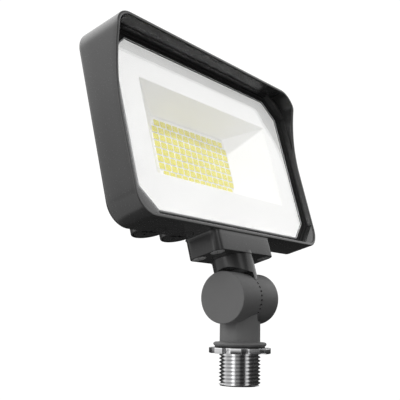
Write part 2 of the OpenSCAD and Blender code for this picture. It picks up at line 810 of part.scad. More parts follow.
module heat_pad() {
    color([0.45, 0.47, 0.5]) on_head() difference() {
        translate([0, 0, lens_mid_z]) panel(board_front + board_t, sink_front)
            square([board_w - 2, board_h - 2], center = true);
        board_screw_places() rod_y(board_screw_r + 0.4, board_front, sink_front + over);
        translate([0, 0, lead_z]) rod_y(lead_hole_r, board_front, sink_front + over);
    }
}

module lead_grommet() {
    color(black_rubber) on_head() translate([0, 0, lead_z]) difference() {
        rod_y(lead_hole_r - 0.1, sink_front + 0.1, sink_back - 0.1);
        for (x = [-lead_x, lead_x]) translate([x, 0, 0]) rod_y(lead_r + 0.05, sink_front, sink_back);
    }
}

module board_leads() {
    color([0.75, 0.1, 0.08]) on_head() for (x = [-lead_x, lead_x])
        translate([x, 0, lead_z]) rod_y(lead_r, board_front + board_t, driver_front - 0.1);
}

module driver_tray() {
    wall = 1.2;
    color([0.12, 0.12, 0.13]) on_head() difference() {
        union() {
            difference() {
                translate([0, 0, lens_mid_z]) panel(tray_front, driver_front + 3)
                    rounded_rect(driver_w + 3.4, driver_h + 3.4, 2);
                translate([0, 0, lens_mid_z]) panel(tray_front + wall, driver_front + 4)
                    rounded_rect(driver_w + 1, driver_h + 1, 1);
            }
            driver_screw_places() rod_y(3, tray_front, driver_front);
        }
        driver_screw_places() rod_y(small_screw_r + 0.1, tray_front - over, driver_front + over);
        translate([0, 0, lead_z]) {
            rod_y(lead_hole_r, tray_front - over, tray_front + 2);
            rod_y(lead_hole_r * 0.8, tray_front, driver_front);
        }
    }
}

module driver_board() {
    color([0.1, 0.35, 0.18]) on_head() difference() {
        translate([0, 0, lens_mid_z]) panel(driver_front, driver_back)
            square([driver_w, driver_h], center = true);
        driver_screw_places() rod_y(small_screw_r + 0.1, driver_front - over, driver_back + over);
    }
}

// Ferrite core with an open window on each side of its middle leg
module transformer() {
    window = [coil_w / 6, part_h * 0.65, coil_h + 2 * over];
    color([0.2, 0.2, 0.22]) on_head() translate([0, driver_back, lens_mid_z]) difference() {
        translate([-coil_w / 2, 0, -coil_h / 2]) cube([coil_w, part_h, coil_h]);
        for (x = [-0.3, 0.3]) translate([x * coil_w - window[0] / 2, part_h * 0.18, -window[2] / 2])
            cube(window);
    }
}

module capacitors() {
    x = driver_w / 2 - part_in;
    z = driver_h / 2 - part_in;
    color([0.1, 0.12, 0.3]) on_head() translate([0, driver_back, lens_mid_z]) {
        translate([x, 0, z]) rod_y(can_r, 0, part_h);
        translate([x, 0, -z]) rod_y(small_can_r, 0, part_h);
        translate([0, 0, coil_h / 2 + small_can_r + 0.5]) rod_y(small_can_r, 0, part_h);
    }
}

// Two wound rings lying on the driver board
module inductors() {
    z = max(driver_h / 2 - part_in, ring_r + 0.3);
    color([0.55, 0.3, 0.12]) on_head() for (side = [-1, 1])
        translate([part_in - driver_w / 2, driver_back, lens_mid_z + side * z]) difference() {
            rod_y(ring_r, 0, part_h * 0.5);
            rod_y(ring_hole_r, -over, part_h);
        }
}

module driver_screws() {
    color(steel) on_head() driver_screw_places() translate([0, driver_back, 0])
        screw_in(2.8, 1.8, small_screw_r, driver_back - sink_front - 1.2);
}

module cover_gasket() {
    inset = 0.3;
    color(black_rubber) on_head() translate([0, 0, lens_mid_z]) panel(box_back, cover_front) difference() {
        rounded_rect(2 * (box_half_w - inset), 2 * (box_half_h - inset), box_corner - inset);
        rounded_rect(2 * (box_half_w - box_wall + inset), 2 * (box_half_h - box_wall + inset),
            box_corner - box_wall + inset);
    }
}

module back_cover() {
    edge = 1;
    color(body_grey) on_head() difference() {
        translate([0, 0, lens_mid_z]) {
            panel(cover_front, cover_back - edge)
                rounded_rect(2 * (box_half_w + cover_lip), 2 * (box_half_h + cover_lip),
                    box_corner + cover_lip);
            panel(cover_front, cover_back)
                rounded_rect(2 * (box_half_w + cover_lip - edge), 2 * (box_half_h + cover_lip - edge),
                    box_corner + cover_lip - edge);
        }
        cover_screw_places() rod_y(small_screw_r + 0.2, cover_front - over, cover_back + over);
        translate([0, 0, lens_mid_z]) rod_y(vent_r - 2, cover_front - over, cover_back + over);
    }
}

module cover_screws() {
    color(steel) on_head() cover_screw_places() translate([0, cover_back, 0])
        screw_in(3, 1.8, small_screw_r, cover_back - box_back + cover_screw_grip);
}

module breather() {
    color([0.15, 0.15, 0.16]) on_head() translate([0, 0, lens_mid_z]) difference() {
        union() {
            rod_y(vent_r, cover_back, cover_back + 2);
            rod_y(vent_r - 2.1, cover_front, cover_back + eps);
        }
        for (a = [0:60:300]) rotate([0, a, 0]) translate([vent_r * 0.55, 0, 0])
            rod_y(0.6, cover_back + 1, cover_back + 3);
    }
}

// Threaded plug seen from below, with a cross slot for a screwdriver
module selector_plug(x) {
    color(body_grey) on_head() translate([x, plug_back, head_up + plug_sink]) difference() {
        cylinder(r = plug_r, h = plug_h);
        for (a = [0, 90]) rotate([0, 0, slot_turn + a]) translate([-slot_arm, -slot_w / 2, -over])
            cube([2 * slot_arm, slot_w, over + slot_depth]);
    }
}

module wattage_plug() { selector_plug(plug_xs[0]); }
module colour_plug() { selector_plug(plug_xs[1]); }

module plug_seals() {
    color(black_rubber) on_head() for (x = plug_xs) translate([x, plug_back, well_z - plug_seal_t])
        difference() {
            cylinder(r = plug_r - 0.2, h = plug_seal_t);
            translate([0, 0, -over]) cylinder(r = plug_r - 1.2, h = plug_seal_t + 2 * over);
        }
}

// Small circuit board that carries the two rotary switches
module selector_board() {
    margin = switch_w / 2 + 1;
    color([0.1, 0.35, 0.18]) on_head()
        translate([plug_xs[0] - margin, dial_back - switch_d / 2, switch_z + switch_h])
            cube([plug_pitch + 2 * margin, switch_d, selector_t]);
}

module selector_switch(x) {
    color([0.85, 0.85, 0.82]) on_head() translate([x, dial_back, 0]) difference() {
        translate([-switch_w / 2, -switch_d / 2, switch_z]) cube([switch_w, switch_d, switch_h]);
        translate([0, 0, switch_z - over])
            cylinder(r = dial_shaft_r + running, h = over + switch_h - 1.8);
    }
}

module wattage_switch() { selector_switch(plug_xs[0]); }
module colour_switch() { selector_switch(plug_xs[1]); }

// Slotted dial, turned with a screwdriver through the plug's hole
module selector_dial(x) {
    low = well_z + 0.5;
    color([0.2, 0.45, 0.75]) on_head() translate([x, dial_back, 0]) difference() {
        union() {
            translate([0, 0, low]) cylinder(r = dial_r, h = switch_z - 0.1 - low);
            translate([0, 0, low]) cylinder(r = dial_shaft_r, h = switch_z + switch_h - 2 - low);
        }
        translate([-dial_r, -0.4, low - over]) cube([2 * dial_r, 0.8, over + 1]);
    }
}

module wattage_dial() { selector_dial(plug_xs[0]); }
module colour_dial() { selector_dial(plug_xs[1]); }

lower_knuckle();
nipple();
flange_gasket();
locknut();
knuckle_bolt();
bolt_washer();
knuckle_seal();
upper_knuckle();
block_gasket();
block_screws();
housing();
lens();
lens_seal();
reflector();
led_board();
leds();
board_screws();
heat_pad();
lead_grommet();
board_leads();
driver_tray();
driver_board();
transformer();
capacitors();
inductors();
driver_screws();
cover_gasket();
back_cover();
cover_screws();
breather();
wattage_plug();
colour_plug();
plug_seals();
selector_board();
wattage_switch();
colour_switch();
wattage_dial();
colour_dial();
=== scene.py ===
# Rectangular LED flood light on a tilting knuckle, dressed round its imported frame.
# Shapes are worked out in millimetres and go into the meshes in metres.
import json
import math

import bmesh
import bpy
import numpy as np
from mathutils import Matrix, Vector, geometry


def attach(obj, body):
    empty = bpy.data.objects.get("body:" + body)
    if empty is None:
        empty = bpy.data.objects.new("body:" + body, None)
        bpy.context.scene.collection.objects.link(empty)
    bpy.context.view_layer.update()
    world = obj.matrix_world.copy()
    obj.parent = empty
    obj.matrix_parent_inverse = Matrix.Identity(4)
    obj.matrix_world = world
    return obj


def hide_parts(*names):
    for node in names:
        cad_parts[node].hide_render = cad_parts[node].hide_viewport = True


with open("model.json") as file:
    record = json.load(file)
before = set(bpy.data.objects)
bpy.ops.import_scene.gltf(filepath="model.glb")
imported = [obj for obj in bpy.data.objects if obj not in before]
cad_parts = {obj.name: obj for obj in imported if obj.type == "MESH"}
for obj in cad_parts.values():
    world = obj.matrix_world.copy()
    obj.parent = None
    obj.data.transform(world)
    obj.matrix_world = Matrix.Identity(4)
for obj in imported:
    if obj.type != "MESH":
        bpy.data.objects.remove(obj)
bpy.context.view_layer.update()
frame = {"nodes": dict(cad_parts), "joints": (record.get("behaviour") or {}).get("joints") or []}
nodes = frame["nodes"]
joints = {joint["name"]: joint for joint in frame["joints"]}
metre = 1000.0  # millimetres in a metre
pole = 0.05  # smallest radius at the middle of a turned shape
hair = 0.02  # keeps faces that meet from lying in one plane
arcShare = 0.3  # how far the middle of a rounded edge stands back, as a share of its radius
weldReach = 0.002  # points nearer each other than this become one

hingeHeight = joints["head_tilt"]["pos_m"][2] * metre
headUp = joints["wattage_plug_turn"]["axis"]  # the head's own upright, which leans back
leanSin = headUp[1]
leanCos = headUp[2]
print("frame loaded:", len(nodes), "nodes")


# helpers for shapes

def fromHead(points):
    # head coordinates (x, depth behind the hinge, height above it) turned by the lean into the row frame
    x, y, z = points[..., 0], points[..., 1], points[..., 2]
    return np.stack([x, y * leanCos + z * leanSin, z * leanCos - y * leanSin + hingeHeight], axis=-1)


def gridQuads(rows, columns, wrapColumns=True, wrapRows=False):
    # quad (i, j) joins grid points (i, j), (i, j + 1), (i + 1, j + 1), (i + 1, j)
    i = np.arange(rows if wrapRows else rows - 1)[:, None]
    j = np.arange(columns if wrapColumns else columns - 1)[None, :]
    iNext = (i + 1) % rows
    jNext = (j + 1) % columns
    quads = np.stack(np.broadcast_arrays(i * columns + j, i * columns + jNext,
                                         iNext * columns + jNext, iNext * columns + j), axis=-1)
    return quads.reshape(-1, 4)


def loftShell(loops, wrapRows=False):
    # rows of closed loops joined by quads, the ends closed by a flat face each or joined to each other
    loops = np.asarray(loops, float)
    rows, columns = loops.shape[:2]
    faces = gridQuads(rows, columns, True, wrapRows).tolist()
    if not wrapRows:
        faces.append(list(range(columns))[::-1])
        faces.append(list(range((rows - 1) * columns, rows * columns)))
    return loops.reshape(-1, 3), faces


def joinShells(shells):
    # one list of points and faces out of several shells
    points = []
    faces = []
    start = 0
    for shellPoints, shellFaces in shells:
        points.append(shellPoints)
        faces.extend([[index + start for index in face] for face in shellFaces])
        start += len(shellPoints)
    return np.concatenate(points), faces


def copiesOf(shell, places):
    # the same shell at each place, by adding every place to every point
    points, faces = shell
    places = np.asarray(places, float)
    allPoints = (points[None] + places[:, None]).reshape(-1, 3)
    count = len(points)
    allFaces = [[index + k * count for index in face] for k in range(len(places)) for face in faces]
    return allPoints, allFaces


def rectLoop(halfW, halfH, radius, midZ, perCorner, perSide, cut=None):
    # closed loop of (x, z): right side going up, then anticlockwise. A corner is an arc of the radius, or
    # with cut=(cx, cz) a straight cut, and each side has perSide evenly spaced points between its corners
    a = np.linspace(0.0, math.pi / 2, perCorner)
    if cut is None:
        arc = np.stack([halfW - radius + radius * np.cos(a), halfH - radius + radius * np.sin(a)], -1)
    else:
        t = a / a[-1]
        arc = np.stack([halfW - cut[0] * t, halfH - cut[1] * (1 - t)], -1)
    corners = [arc, arc[::-1] * [-1, 1], arc * [-1, -1], arc[::-1] * [1, -1]]
    t = (np.arange(1, perSide + 1) / (perSide + 1))[:, None]
    loop = []
    for k in range(4):
        here, after = corners[k], corners[(k + 1) % 4]
        loop += [here, here[-1] * (1 - t) + after[0] * t]
    return np.concatenate(loop) + [0.0, midZ]


def atDepth(loop, depth):
    # a loop of (x, z) set at a depth, one number or one for each point
    return np.stack([loop[:, 0], np.broadcast_to(depth, len(loop)), loop[:, 1]], -1)


def ringOf(a, radius, height, centre=(0.0, 0.0)):
    # points round an upright axis at the angles a, by one radius and height or by one of each for every angle
    return np.stack([centre[0] + radius * np.cos(a), centre[1] + radius * np.sin(a),
                     np.broadcast_to(height, a.shape)], -1)


def circleLoop(centre, radius, height, steps=40):
    # evenly spaced points of a level circle
    return ringOf(np.linspace(0, 2 * math.pi, steps, endpoint=False), radius, height, centre)


def arcPoints(centre, radius, start, end, count):
    # points on an arc between two angles in degrees
    a = np.radians(np.linspace(start, end, count))
    return [(centre[0] + radius * math.cos(t), centre[1] + radius * math.sin(t)) for t in a]


def newObject(name, points, faces):
    mesh = bpy.data.meshes.new(name)
    mesh.from_pydata(points.tolist(), [], faces)
    piece = bpy.data.objects.new(name, mesh)
    bpy.context.scene.collection.objects.link(piece)
    return piece


def addPiece(name, shell, body, replaced, finish, smooth=35):
    # puts a shell in millimetres into a mesh in metres and hangs it on its body
    points, faces = shell
    piece = newObject(name, points / metre, faces)
    mesh = piece.data
    mesh.validate()
    mesh.polygons.foreach_set("use_smooth", np.ones(len(mesh.polygons), bool))
    mesh.set_sharp_from_angle(angle=math.radians(smooth))
    mesh.materials.append(materials[finish])
    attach(piece, body)
    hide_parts(*replaced)
    return piece


# helpers for materials

def newMaterial(name):
    material = bpy.data.materials.new(name)
    material.use_nodes = True
    tree = material.node_tree
    return material, tree, tree.nodes["Principled BSDF"]


def objectPlace(tree):
    return tree.nodes.new("ShaderNodeTexCoord").outputs["Object"]


def noiseOf(tree, place, scale, detail=2.0):
    noise = tree.nodes.new("ShaderNodeTexNoise")
    noise.inputs["Scale"].default_value = scale
    noise.inputs["Detail"].default_value = detail
    tree.links.new(place, noise.inputs["Vector"])
    return noise.outputs["Fac"]


def mathOf(tree, operation, *values):
    node = tree.nodes.new("ShaderNodeMath")
    node.operation = operation
    for value, socket in zip(values, node.inputs):
        tree.links.new(value, socket)
    return node.outputs["Value"]


def vectorOf(tree, operation, vector, constant=(0, 0, 0)):
    node = tree.nodes.new("ShaderNodeVectorMath")
    node.operation = operation
    node.inputs[1].default_value = constant
    tree.links.new(vector, node.inputs[0])
    return node.outputs["Vector" if operation == "MULTIPLY" else "Value"]


def rampOf(tree, factor, low, high, start=0.3, end=0.7):
    ramp = tree.nodes.new("ShaderNodeValToRGB")
    for stop, position, colour in zip(ramp.color_ramp.elements, (start, end), (low, high)):
        stop.position = position
        stop.color = (*colour, 1)
    tree.links.new(factor, ramp.inputs["Fac"])
    return ramp.outputs["Color"]


def rangeOf(tree, factor, low, high, start=0.3, end=0.7):
    span = tree.nodes.new("ShaderNodeMapRange")
    for socket, value in (("From Min", start), ("From Max", end), ("To Min", low), ("To Max", high)):
        span.inputs[socket].default_value = value
    tree.links.new(factor, span.inputs["Value"])
    return span.outputs["Result"]


def bumpInto(tree, shader, height, strength, distance):
    bump = tree.nodes.new("ShaderNodeBump")
    bump.inputs["Strength"].default_value = strength
    bump.inputs["Distance"].default_value = distance
    tree.links.new(height, bump.inputs["Height"])
    tree.links.new(bump.outputs["Normal"], shader.inputs["Normal"])


def mixByRay(tree, ray, usual, special, output):
    # the usual shader for most rays, and the special one for rays of the named kind
    path = tree.nodes.new("ShaderNodeLightPath")
    mix = tree.nodes.new("ShaderNodeMixShader")
    tree.links.new(path.outputs[ray], mix.inputs["Fac"])
    tree.links.new(usual, mix.inputs[1])
    tree.links.new(special, mix.inputs[2])
    tree.links.new(mix.outputs["Shader"], output)


def grainFinish(name, dark, light, patchScale, grainScale, roughness, bump, depth, sockets=()):
    # colour wanders between two shades over centimetres, and fine grain raises the surface and its roughness
    material, tree, shader = newMaterial(name)
    place = objectPlace(tree)
    patches = noiseOf(tree, place, patchScale, 3.0)
    tree.links.new(rampOf(tree, patches, dark, light), shader.inputs["Base Color"])
    grain = noiseOf(tree, place, grainScale)
    tree.links.new(rangeOf(tree, grain, *roughness), shader.inputs["Roughness"])
    bumpInto(tree, shader, grain, bump, depth / metre)
    shader.inputs["IOR"].default_value = 1.5
    for socket in sockets:
        shader.inputs[socket].default_value = sockets[socket]
    return material


finishes = {
    # darkest and lightest shade, patches and grain per metre, roughness from and to, bump's strength, grain's
    # depth in millimetres, and what else the shader is given
    "blockCoat": ((0.03, 0.03, 0.03), (0.036, 0.036, 0.036), 30, 1400, (0.2, 0.28), 0.1, 0.05,
                  {"IOR": 1.42}),
    "greyCoat": ((0.031, 0.031, 0.031), (0.038, 0.038, 0.038), 30, 1400, (0.2, 0.28), 0.1, 0.05),
    "knuckleCoat": ((0.108, 0.108, 0.108), (0.12, 0.12, 0.12), 35, 1500, (0.48, 0.58), 0.1, 0.05,
                    {"IOR": 1.36}),
    "zincSteel": ((0.45, 0.45, 0.455), (0.55, 0.55, 0.555), 120, 2500, (0.14, 0.2), 0.02, 0.01,
                  {"Metallic": 1.0}),
    "coatedSteel": ((0.26, 0.26, 0.26), (0.33, 0.33, 0.33), 200, 2200, (0.35, 0.5), 0.1, 0.03),
    "blackRubber": ((0.006, 0.006, 0.006), (0.014, 0.014, 0.014), 120, 2600, (0.6, 0.8), 0.2, 0.04),
    "reflectorWhite": ((0.84, 0.84, 0.83), (0.89, 0.89, 0.88), 20, 900, (0.34, 0.44), 0.03, 0.03),
    "boardWhite": ((0.82, 0.82, 0.8), (0.9, 0.9, 0.88), 60, 1600, (0.3, 0.42), 0.05, 0.03),
    "phosphor": ((0.68, 0.62, 0.03), (0.75, 0.69, 0.06), 400, 6000, (0.45, 0.6), 0.15, 0.02),
    "thermalPad": ((0.16, 0.18, 0.21), (0.24, 0.26, 0.3), 150, 3000, (0.7, 0.85), 0.2, 0.03),
    "leadRed": ((0.4, 0.012, 0.008), (0.55, 0.03, 0.02), 200, 2500, (0.4, 0.5), 0.1, 0.02),
    "circuitGreen": ((0.012, 0.09, 0.03), (0.03, 0.16, 0.06), 260, 2600, (0.28, 0.4), 0.12, 0.03,
                     {"Coat Weight": 0.4, "Coat Roughness": 0.2}),
    "blackPlastic": ((0.014, 0.014, 0.015), (0.026, 0.026, 0.028), 60, 1900, (0.45, 0.6), 0.15, 0.04),
    "ferrite": ((0.03, 0.03, 0.034), (0.055, 0.055, 0.06), 300, 3500, (0.55, 0.7), 0.2, 0.03),
    "canBlue": ((0.014, 0.02, 0.1), (0.03, 0.045, 0.17), 140, 2200, (0.3, 0.4), 0.06, 0.02),
    "copperWinding": ((0.3, 0.1, 0.03), (0.55, 0.24, 0.09), 900, 3500, (0.3, 0.45), 0.4, 0.06,
                      {"Metallic": 0.6}),
    "whitePlastic": ((0.62, 0.62, 0.59), (0.74, 0.74, 0.71), 90, 2100, (0.4, 0.5), 0.08, 0.02),
    "groundGlass": ((0.86, 0.87, 0.87), (0.92, 0.93, 0.93), 60, 3000, (0.5, 0.6), 0.05, 0.02),
    "dialBlue": ((0.02, 0.12, 0.36), (0.045, 0.2, 0.52), 260, 2600, (0.3, 0.42), 0.1, 0.02),
}
materials = {name: grainFinish(name, *values) for name, values in finishes.items()}


def threadPaintedShadeFinish(name, values, t):
    # the nipple's zinc steel with painted shade: darker the nearer a point lies to the thread's root,
    # standing in for the shade down in the thread's grooves
    material = grainFinish(name, *values)
    tree = material.node_tree
    reach = vectorOf(tree, "LENGTH", vectorOf(tree, "MULTIPLY", objectPlace(tree), (1, 1, 0)))
    rise = rangeOf(tree, reach, 0.0, 1.0, t["root"] / metre, t["crest"] / metre)
    # painted shade: the colour falls to the thread's root shade near its root and rises to the steel's light
    # shade towards the crest
    colour = rampOf(tree, rise, t["paintedRootShade"], values[1], *t["paintedShadeSpan"])
    tree.links.new(colour, tree.nodes["Principled BSDF"].inputs["Base Color"])
    return material


glassSettings = {"tint": (0.99, 0.99, 0.99), "roughness": 0.003, "smeared": 0.009, "smearScale": 25,
                 "ior": 1.5, "lampTint": (0.96, 0.96, 0.96)}


def clearGlass(settings):
    # glass that bends and mirrors what the eye sees and lets lamps through to what lies behind it
    material, tree, shader = newMaterial("clearGlass")
    smears = noiseOf(tree, objectPlace(tree), settings["smearScale"], 3.0)
    roughness = rangeOf(tree, smears, settings["roughness"], settings["smeared"])
    tree.links.new(roughness, shader.inputs["Roughness"])
    shader.inputs["Base Color"].default_value = (*settings["tint"], 1)
    shader.inputs["Transmission Weight"].default_value = 1.0
    shader.inputs["IOR"].default_value = settings["ior"]
    clear = tree.nodes.new("ShaderNodeBsdfTransparent")
    clear.inputs["Color"].default_value = (*settings["lampTint"], 1)
    mixByRay(tree, "Is Shadow Ray", shader.outputs["BSDF"], clear.outputs["BSDF"],
             tree.nodes["Material Output"].inputs["Surface"])
    return material


materials["clearGlass"] = clearGlass(glassSettings)

finishNodes = {
    # the nodes that show their own solids
    "zincSteel": ("knuckle_bolt", "bolt_washer", "board_screws", "driver_screws"),
    "coatedSteel": ("cover_screws",), "greyCoat": ("back_cover",), "boardWhite": ("led_board",),
    "blackRubber": ("flange_gasket", "knuckle_seal", "block_gasket", "lead_grommet", "cover_gasket",
                    "plug_seals"),
    "thermalPad": ("heat_pad",), "leadRed": ("board_leads",), "blackPlastic": ("driver_tray", "breather"),
    "circuitGreen": ("driver_board", "selector_board"), "ferrite": ("transformer",),
    "canBlue": ("capacitors",), "copperWinding": ("inductors",),
    "whitePlastic": ("wattage_switch", "colour_switch"), "dialBlue": ("wattage_dial", "colour_dial"),
}
for finish, nodeNames in finishNodes.items():
    for nodeName in nodeNames:
        for slot in nodes[nodeName].material_slots:
            slot.material = materials[finish]
print("materials made:", len(materials))


# the cast housing

housing = {
    "halfW": 83.7, "halfH": 51.0, "low": 31.6, "corner": 11.6,
    "front": 11.8, "sweepStart": 48.4, "sweepRadius": 123.0, "sweepAngle": 19.7, "lipRadius": 12.0,
    "wall": 1.4, "lip": 2.0, "lipRound": 0.8, "rimEdge": 0.5, "back": 7.5, "backEdge": 2.5,
    "seat": 4.8, "ledge": 2.0, "ledgeIn": 4.0, "recessCut": (14.53, 13.39), "cutShare": 0.6, "bodyWall": 2.2,
    "rimBand": 3.0, "bandRows": (-7.0, -1.0), "padLift": 0.05, "padRows": ((0, 0.3), (-0.1, 0.08), (-0.3, 0)),
    "raisedHalfW": 65.0, "raisedHalfH": 39.0, "raisedCorner": 8.0, "pocketFloor": 12.6, "raisedBack": 16.0,
    "raisedWall": 4.0, "boxHalfW": 44.0, "boxHalfH": 30.5, "boxCorner": 5.0, "boxBack": 33.0, "boxWall": 2.5,
    "boxFloor": 0.2,
    # where a form starts, (inset, rise over what carries it), and where it ends, (inset, drop under its back)
    "raisedFoot": ((-1.6, 0), (-0.5, 0.4), (0, 1.6)), "raisedEnd": ((0.3, 1.4), (0.7, 0.4), (1.7, 0)),
    "boxFoot": ((-1.4, 0), (-0.4, 0.4), (0, 1.4)), "boxEnd": ((0, 0.3), (0.3, 0)),
    "perCorner": 15, "perSide": 40, "lipSteps": 5, "backSteps": 6,
}
glass = {"halfW": 76.35, "halfH": 45.95, "midZ": 82.55, "cut": (11.5, 10.6), "back": 6.0, "front": 8.0,
         "edge": 0.2, "chamfer": 0.5, "perCorner": 3, "perSide": 3}


def rimFrontAt(height):
    # how far the rim stands in front at a height: level, then an arc forwards, then a small arc back to level
    angle = math.radians(housing["sweepAngle"])
    big, small = housing["sweepRadius"], housing["lipRadius"]
    rise = height - housing["low"] - housing["sweepStart"]
    sweep = np.clip(rise, 0, big * math.sin(angle))
    left = np.clip((big + small) * math.sin(angle) - rise, 0, small * math.sin(angle))
    lower = big - np.sqrt(big ** 2 - sweep ** 2)
    upper = (big + small) * (1 - math.cos(angle)) - small + np.sqrt(small ** 2 - left ** 2)
    return housing["front"] + np.where(rise <= big * math.sin(angle), lower, upper)


def housingLoop(halfW, halfH, radius, midZ, cut=None):
    # a rounded or cut rectangle with the housing's own number of points
    return rectLoop(halfW, halfH, radius, midZ, housing["perCorner"], housing["perSide"], cut)


def bandLoop(inset, depth=None, behindRim=0.0):
    # the band's outline drawn inwards, at one depth or a little behind the rim's front
    h = housing
    loop = housingLoop(h["halfW"] - inset, h["halfH"] - inset, h["corner"] - inset, h["low"] + h["halfH"])
    return atDepth(loop, behindRim - rimFrontAt(loop[:, 1]) if depth is None else depth)


def recessLoop(inset, depth):
    # the recess that the glass lies in, the band's inside with cut corners, drawn inwards at a depth
    h = housing
    loop = housingLoop(h["halfW"] - h["wall"] - inset, h["halfH"] - h["wall"] - inset, 0,
                       h["low"] + h["halfH"], [c - h["cutShare"] * inset for c in h["recessCut"]])
    return atDepth(loop, depth)


def glassLoop(grow, depth, perCorner=housing["perCorner"], perSide=housing["perSide"]):
    # the glass's outline with its cut corners, drawn outwards at a depth
    g = glass
    loop = rectLoop(g["halfW"] + grow, g["halfH"] + grow, 0, g["midZ"], perCorner, perSide,
                    [c + housing["cutShare"] * grow for c in g["cut"]])
    return atDepth(loop, depth)


def formLoop(form, inset, depth):
    # the outline of the raised back or of the driver compartment's box, drawn inwards at a depth
    h = housing
    return atDepth(housingLoop(h[form + "HalfW"] - inset, h[form + "HalfH"] - inset,
                               h[form + "Corner"] - inset, glass["midZ"]), depth)


def formRows(form, foot, back):
    # a form's walls: its foot flares onto what carries it, and its edge is rounded below its back
    return ([formLoop(form, inset, foot + rise) for inset, rise in housing[form + "Foot"]]
            + [formLoop(form, inset, back - drop) for inset, drop in housing[form + "End"]])


def castShell():
    # one closed skin: pocket, glass seat, recess, rim, band, raised back, driver compartment
    h = housing
    edge, seat, inside = h["rimEdge"], h["seat"], h["back"] - h["bodyWall"]
    padDepth = -h["front"] + edge + h["padLift"]
    rows = [formLoop("raised", h["raisedWall"], depth) for depth in (h["pocketFloor"], inside)]
    rows += [bandLoop(h["bodyWall"], depth) for depth in (inside, h["ledge"] - seat)]
    rows += [glassLoop(-h["ledgeIn"], depth) for depth in (h["ledge"] - seat, -seat)]
    rows += [recessLoop(0, -seat)]
    rows += [recessLoop(inset, padDepth + rise) for inset, rise in h["padRows"]]
    rows += [bandLoop(h["wall"], padDepth)]
    quarter = np.linspace(0, math.pi / 2, h["lipSteps"])
    lip, bend = h["lip"], h["lipRound"]
    rows += [bandLoop(lip - bend * (1 - math.cos(a)), behindRim=bend * (1 - math.sin(a))) for a in quarter]
    rows += [bandLoop(edge * (1 - math.sin(a)), behindRim=edge * (1 - math.cos(a))) for a in quarter]
    rows += [bandLoop(0, behindRim=h["rimBand"])] + [bandLoop(0, depth) for depth in h["bandRows"]]
    bend = h["backEdge"]
    rows += [bandLoop(bend * (1 - math.cos(a)), h["back"] - bend * (1 - math.sin(a)))
             for a in np.linspace(0, math.pi / 2, h["backSteps"])]
    rows += formRows("raised", h["back"], h["raisedBack"]) + formRows("box", h["raisedBack"], h["boxBack"])
    boxFloor = h["raisedBack"] + h["boxFloor"]
    rows += [formLoop("box", h["boxWall"], depth) for depth in (h["boxBack"], boxFloor)]
    return loftShell(rows)


fins = {"side": 11, "pitch": 5.0, "thick": 1.8, "height": 8.0, "sink": 2.0, "slope": 0.6, "corner": 0.3,
        "root": 0.4, "boxSink": 0.3, "tip": ((0.6, 0.05), (0.2, 0.2), (0, 0.5)), "perCorner": 3, "perSide": 1}


def finShell(low, high, lowSlope, highSlope):
    # an upright fin as loops round it, one above the other, with sloped ends and a drawn-in tip
    f = fins
    root = housing["raisedBack"] - f["root"]
    top = housing["raisedBack"] + f["height"]
    rows = []
    for depth, inset in [(root, 0.0)] + [(top - drop, inset) for drop, inset in f["tip"]]:
        share = (depth - root) / (top - root)
        bottom, upper = low + lowSlope * share, high - highSlope * share
        loop = rectLoop(f["thick"] / 2 - inset, (upper - bottom) / 2 - inset, f["corner"],
                        (upper + bottom) / 2, f["perCorner"], f["perSide"])
        rows.append(atDepth(loop, depth))
    return loftShell(rows)


def finShells():
    # evenly spaced fins over the raised back, those behind the box in two spans, one below and one above it
    h, f, middle = housing, fins, glass["midZ"]
    low, high = middle - h["raisedHalfH"] + f["sink"], middle + h["raisedHalfH"] - f["sink"]
    boxLow, boxHigh = middle - h["boxHalfH"] + f["boxSink"], middle + h["boxHalfH"] - f["boxSink"]
    slope = f["height"] * f["slope"]
    shells = []
    for i in range(-f["side"], f["side"] + 1):
        x = i * f["pitch"]
        spans = [(low, high, slope, slope)]
        if abs(x) < h["boxHalfW"] + f["thick"]:
            spans = [(low, boxLow, slope, 0.0), (boxHigh, high, 0.0, slope)]
        for span in spans:
            shells.append(copiesOf(finShell(*span), [(x, 0, 0)]))
    return joinShells(shells)


plugs = {"x": (-57.2, -35.5), "back": 5.45, "bossRadius": 9.0, "bossEdge": 0.6, "gap": 0.30, "sink": 0.1,
         "radius": 7.7, "height": 3.6, "edge": 0.3, "well": 4.3, "roof": 1.6, "mouthEdge": 0.2,
         "overlap": 0.1, "cross": (4.65, 0.8, 2.4), "turn": -8.0, "boreGap": 0.1, "boreEnds": (-1, 5),
         "steps": 80, "edgeSteps": 6, "headSteps": 72}


def bossShells(x):
    # a cup under the housing, turned from its profile, and a half round column from it up to the raised back
    p = plugs
    centre = (x, p["back"])
    low = housing["low"] + hair
    inner, outer, edge = p["radius"] + p["gap"], p["bossRadius"], p["bossEdge"]
    floor, roof = low + p["well"], low + p["well"] + p["roof"]
    profile = ([(pole, floor), (inner, floor), (inner, low + p["mouthEdge"]), (inner + p["mouthEdge"], low)]
               + arcPoints((outer - edge, low + edge), edge, -90, 0, p["edgeSteps"])
               + [(outer, roof), (pole, roof)])
    top = glass["midZ"] - housing["raisedHalfH"] + housing["raisedCorner"]
    half = np.linspace(0, math.pi, p["steps"] // 2 + 1)
    return [loftShell([circleLoop(centre, radius, height, p["steps"]) for radius, height in profile]),
            loftShell([ringOf(half, outer, height, centre) for height in (roof - p["overlap"], top)])]


def wellBar(x):
    # round bar that bores a plug's well out of the casting
    p = plugs
    radius = p["radius"] + p["gap"] + p["boreGap"]
    return loftShell([circleLoop((x, p["back"]), radius, housing["low"] + end, p["steps"])
                      for end in p["boreEnds"]])


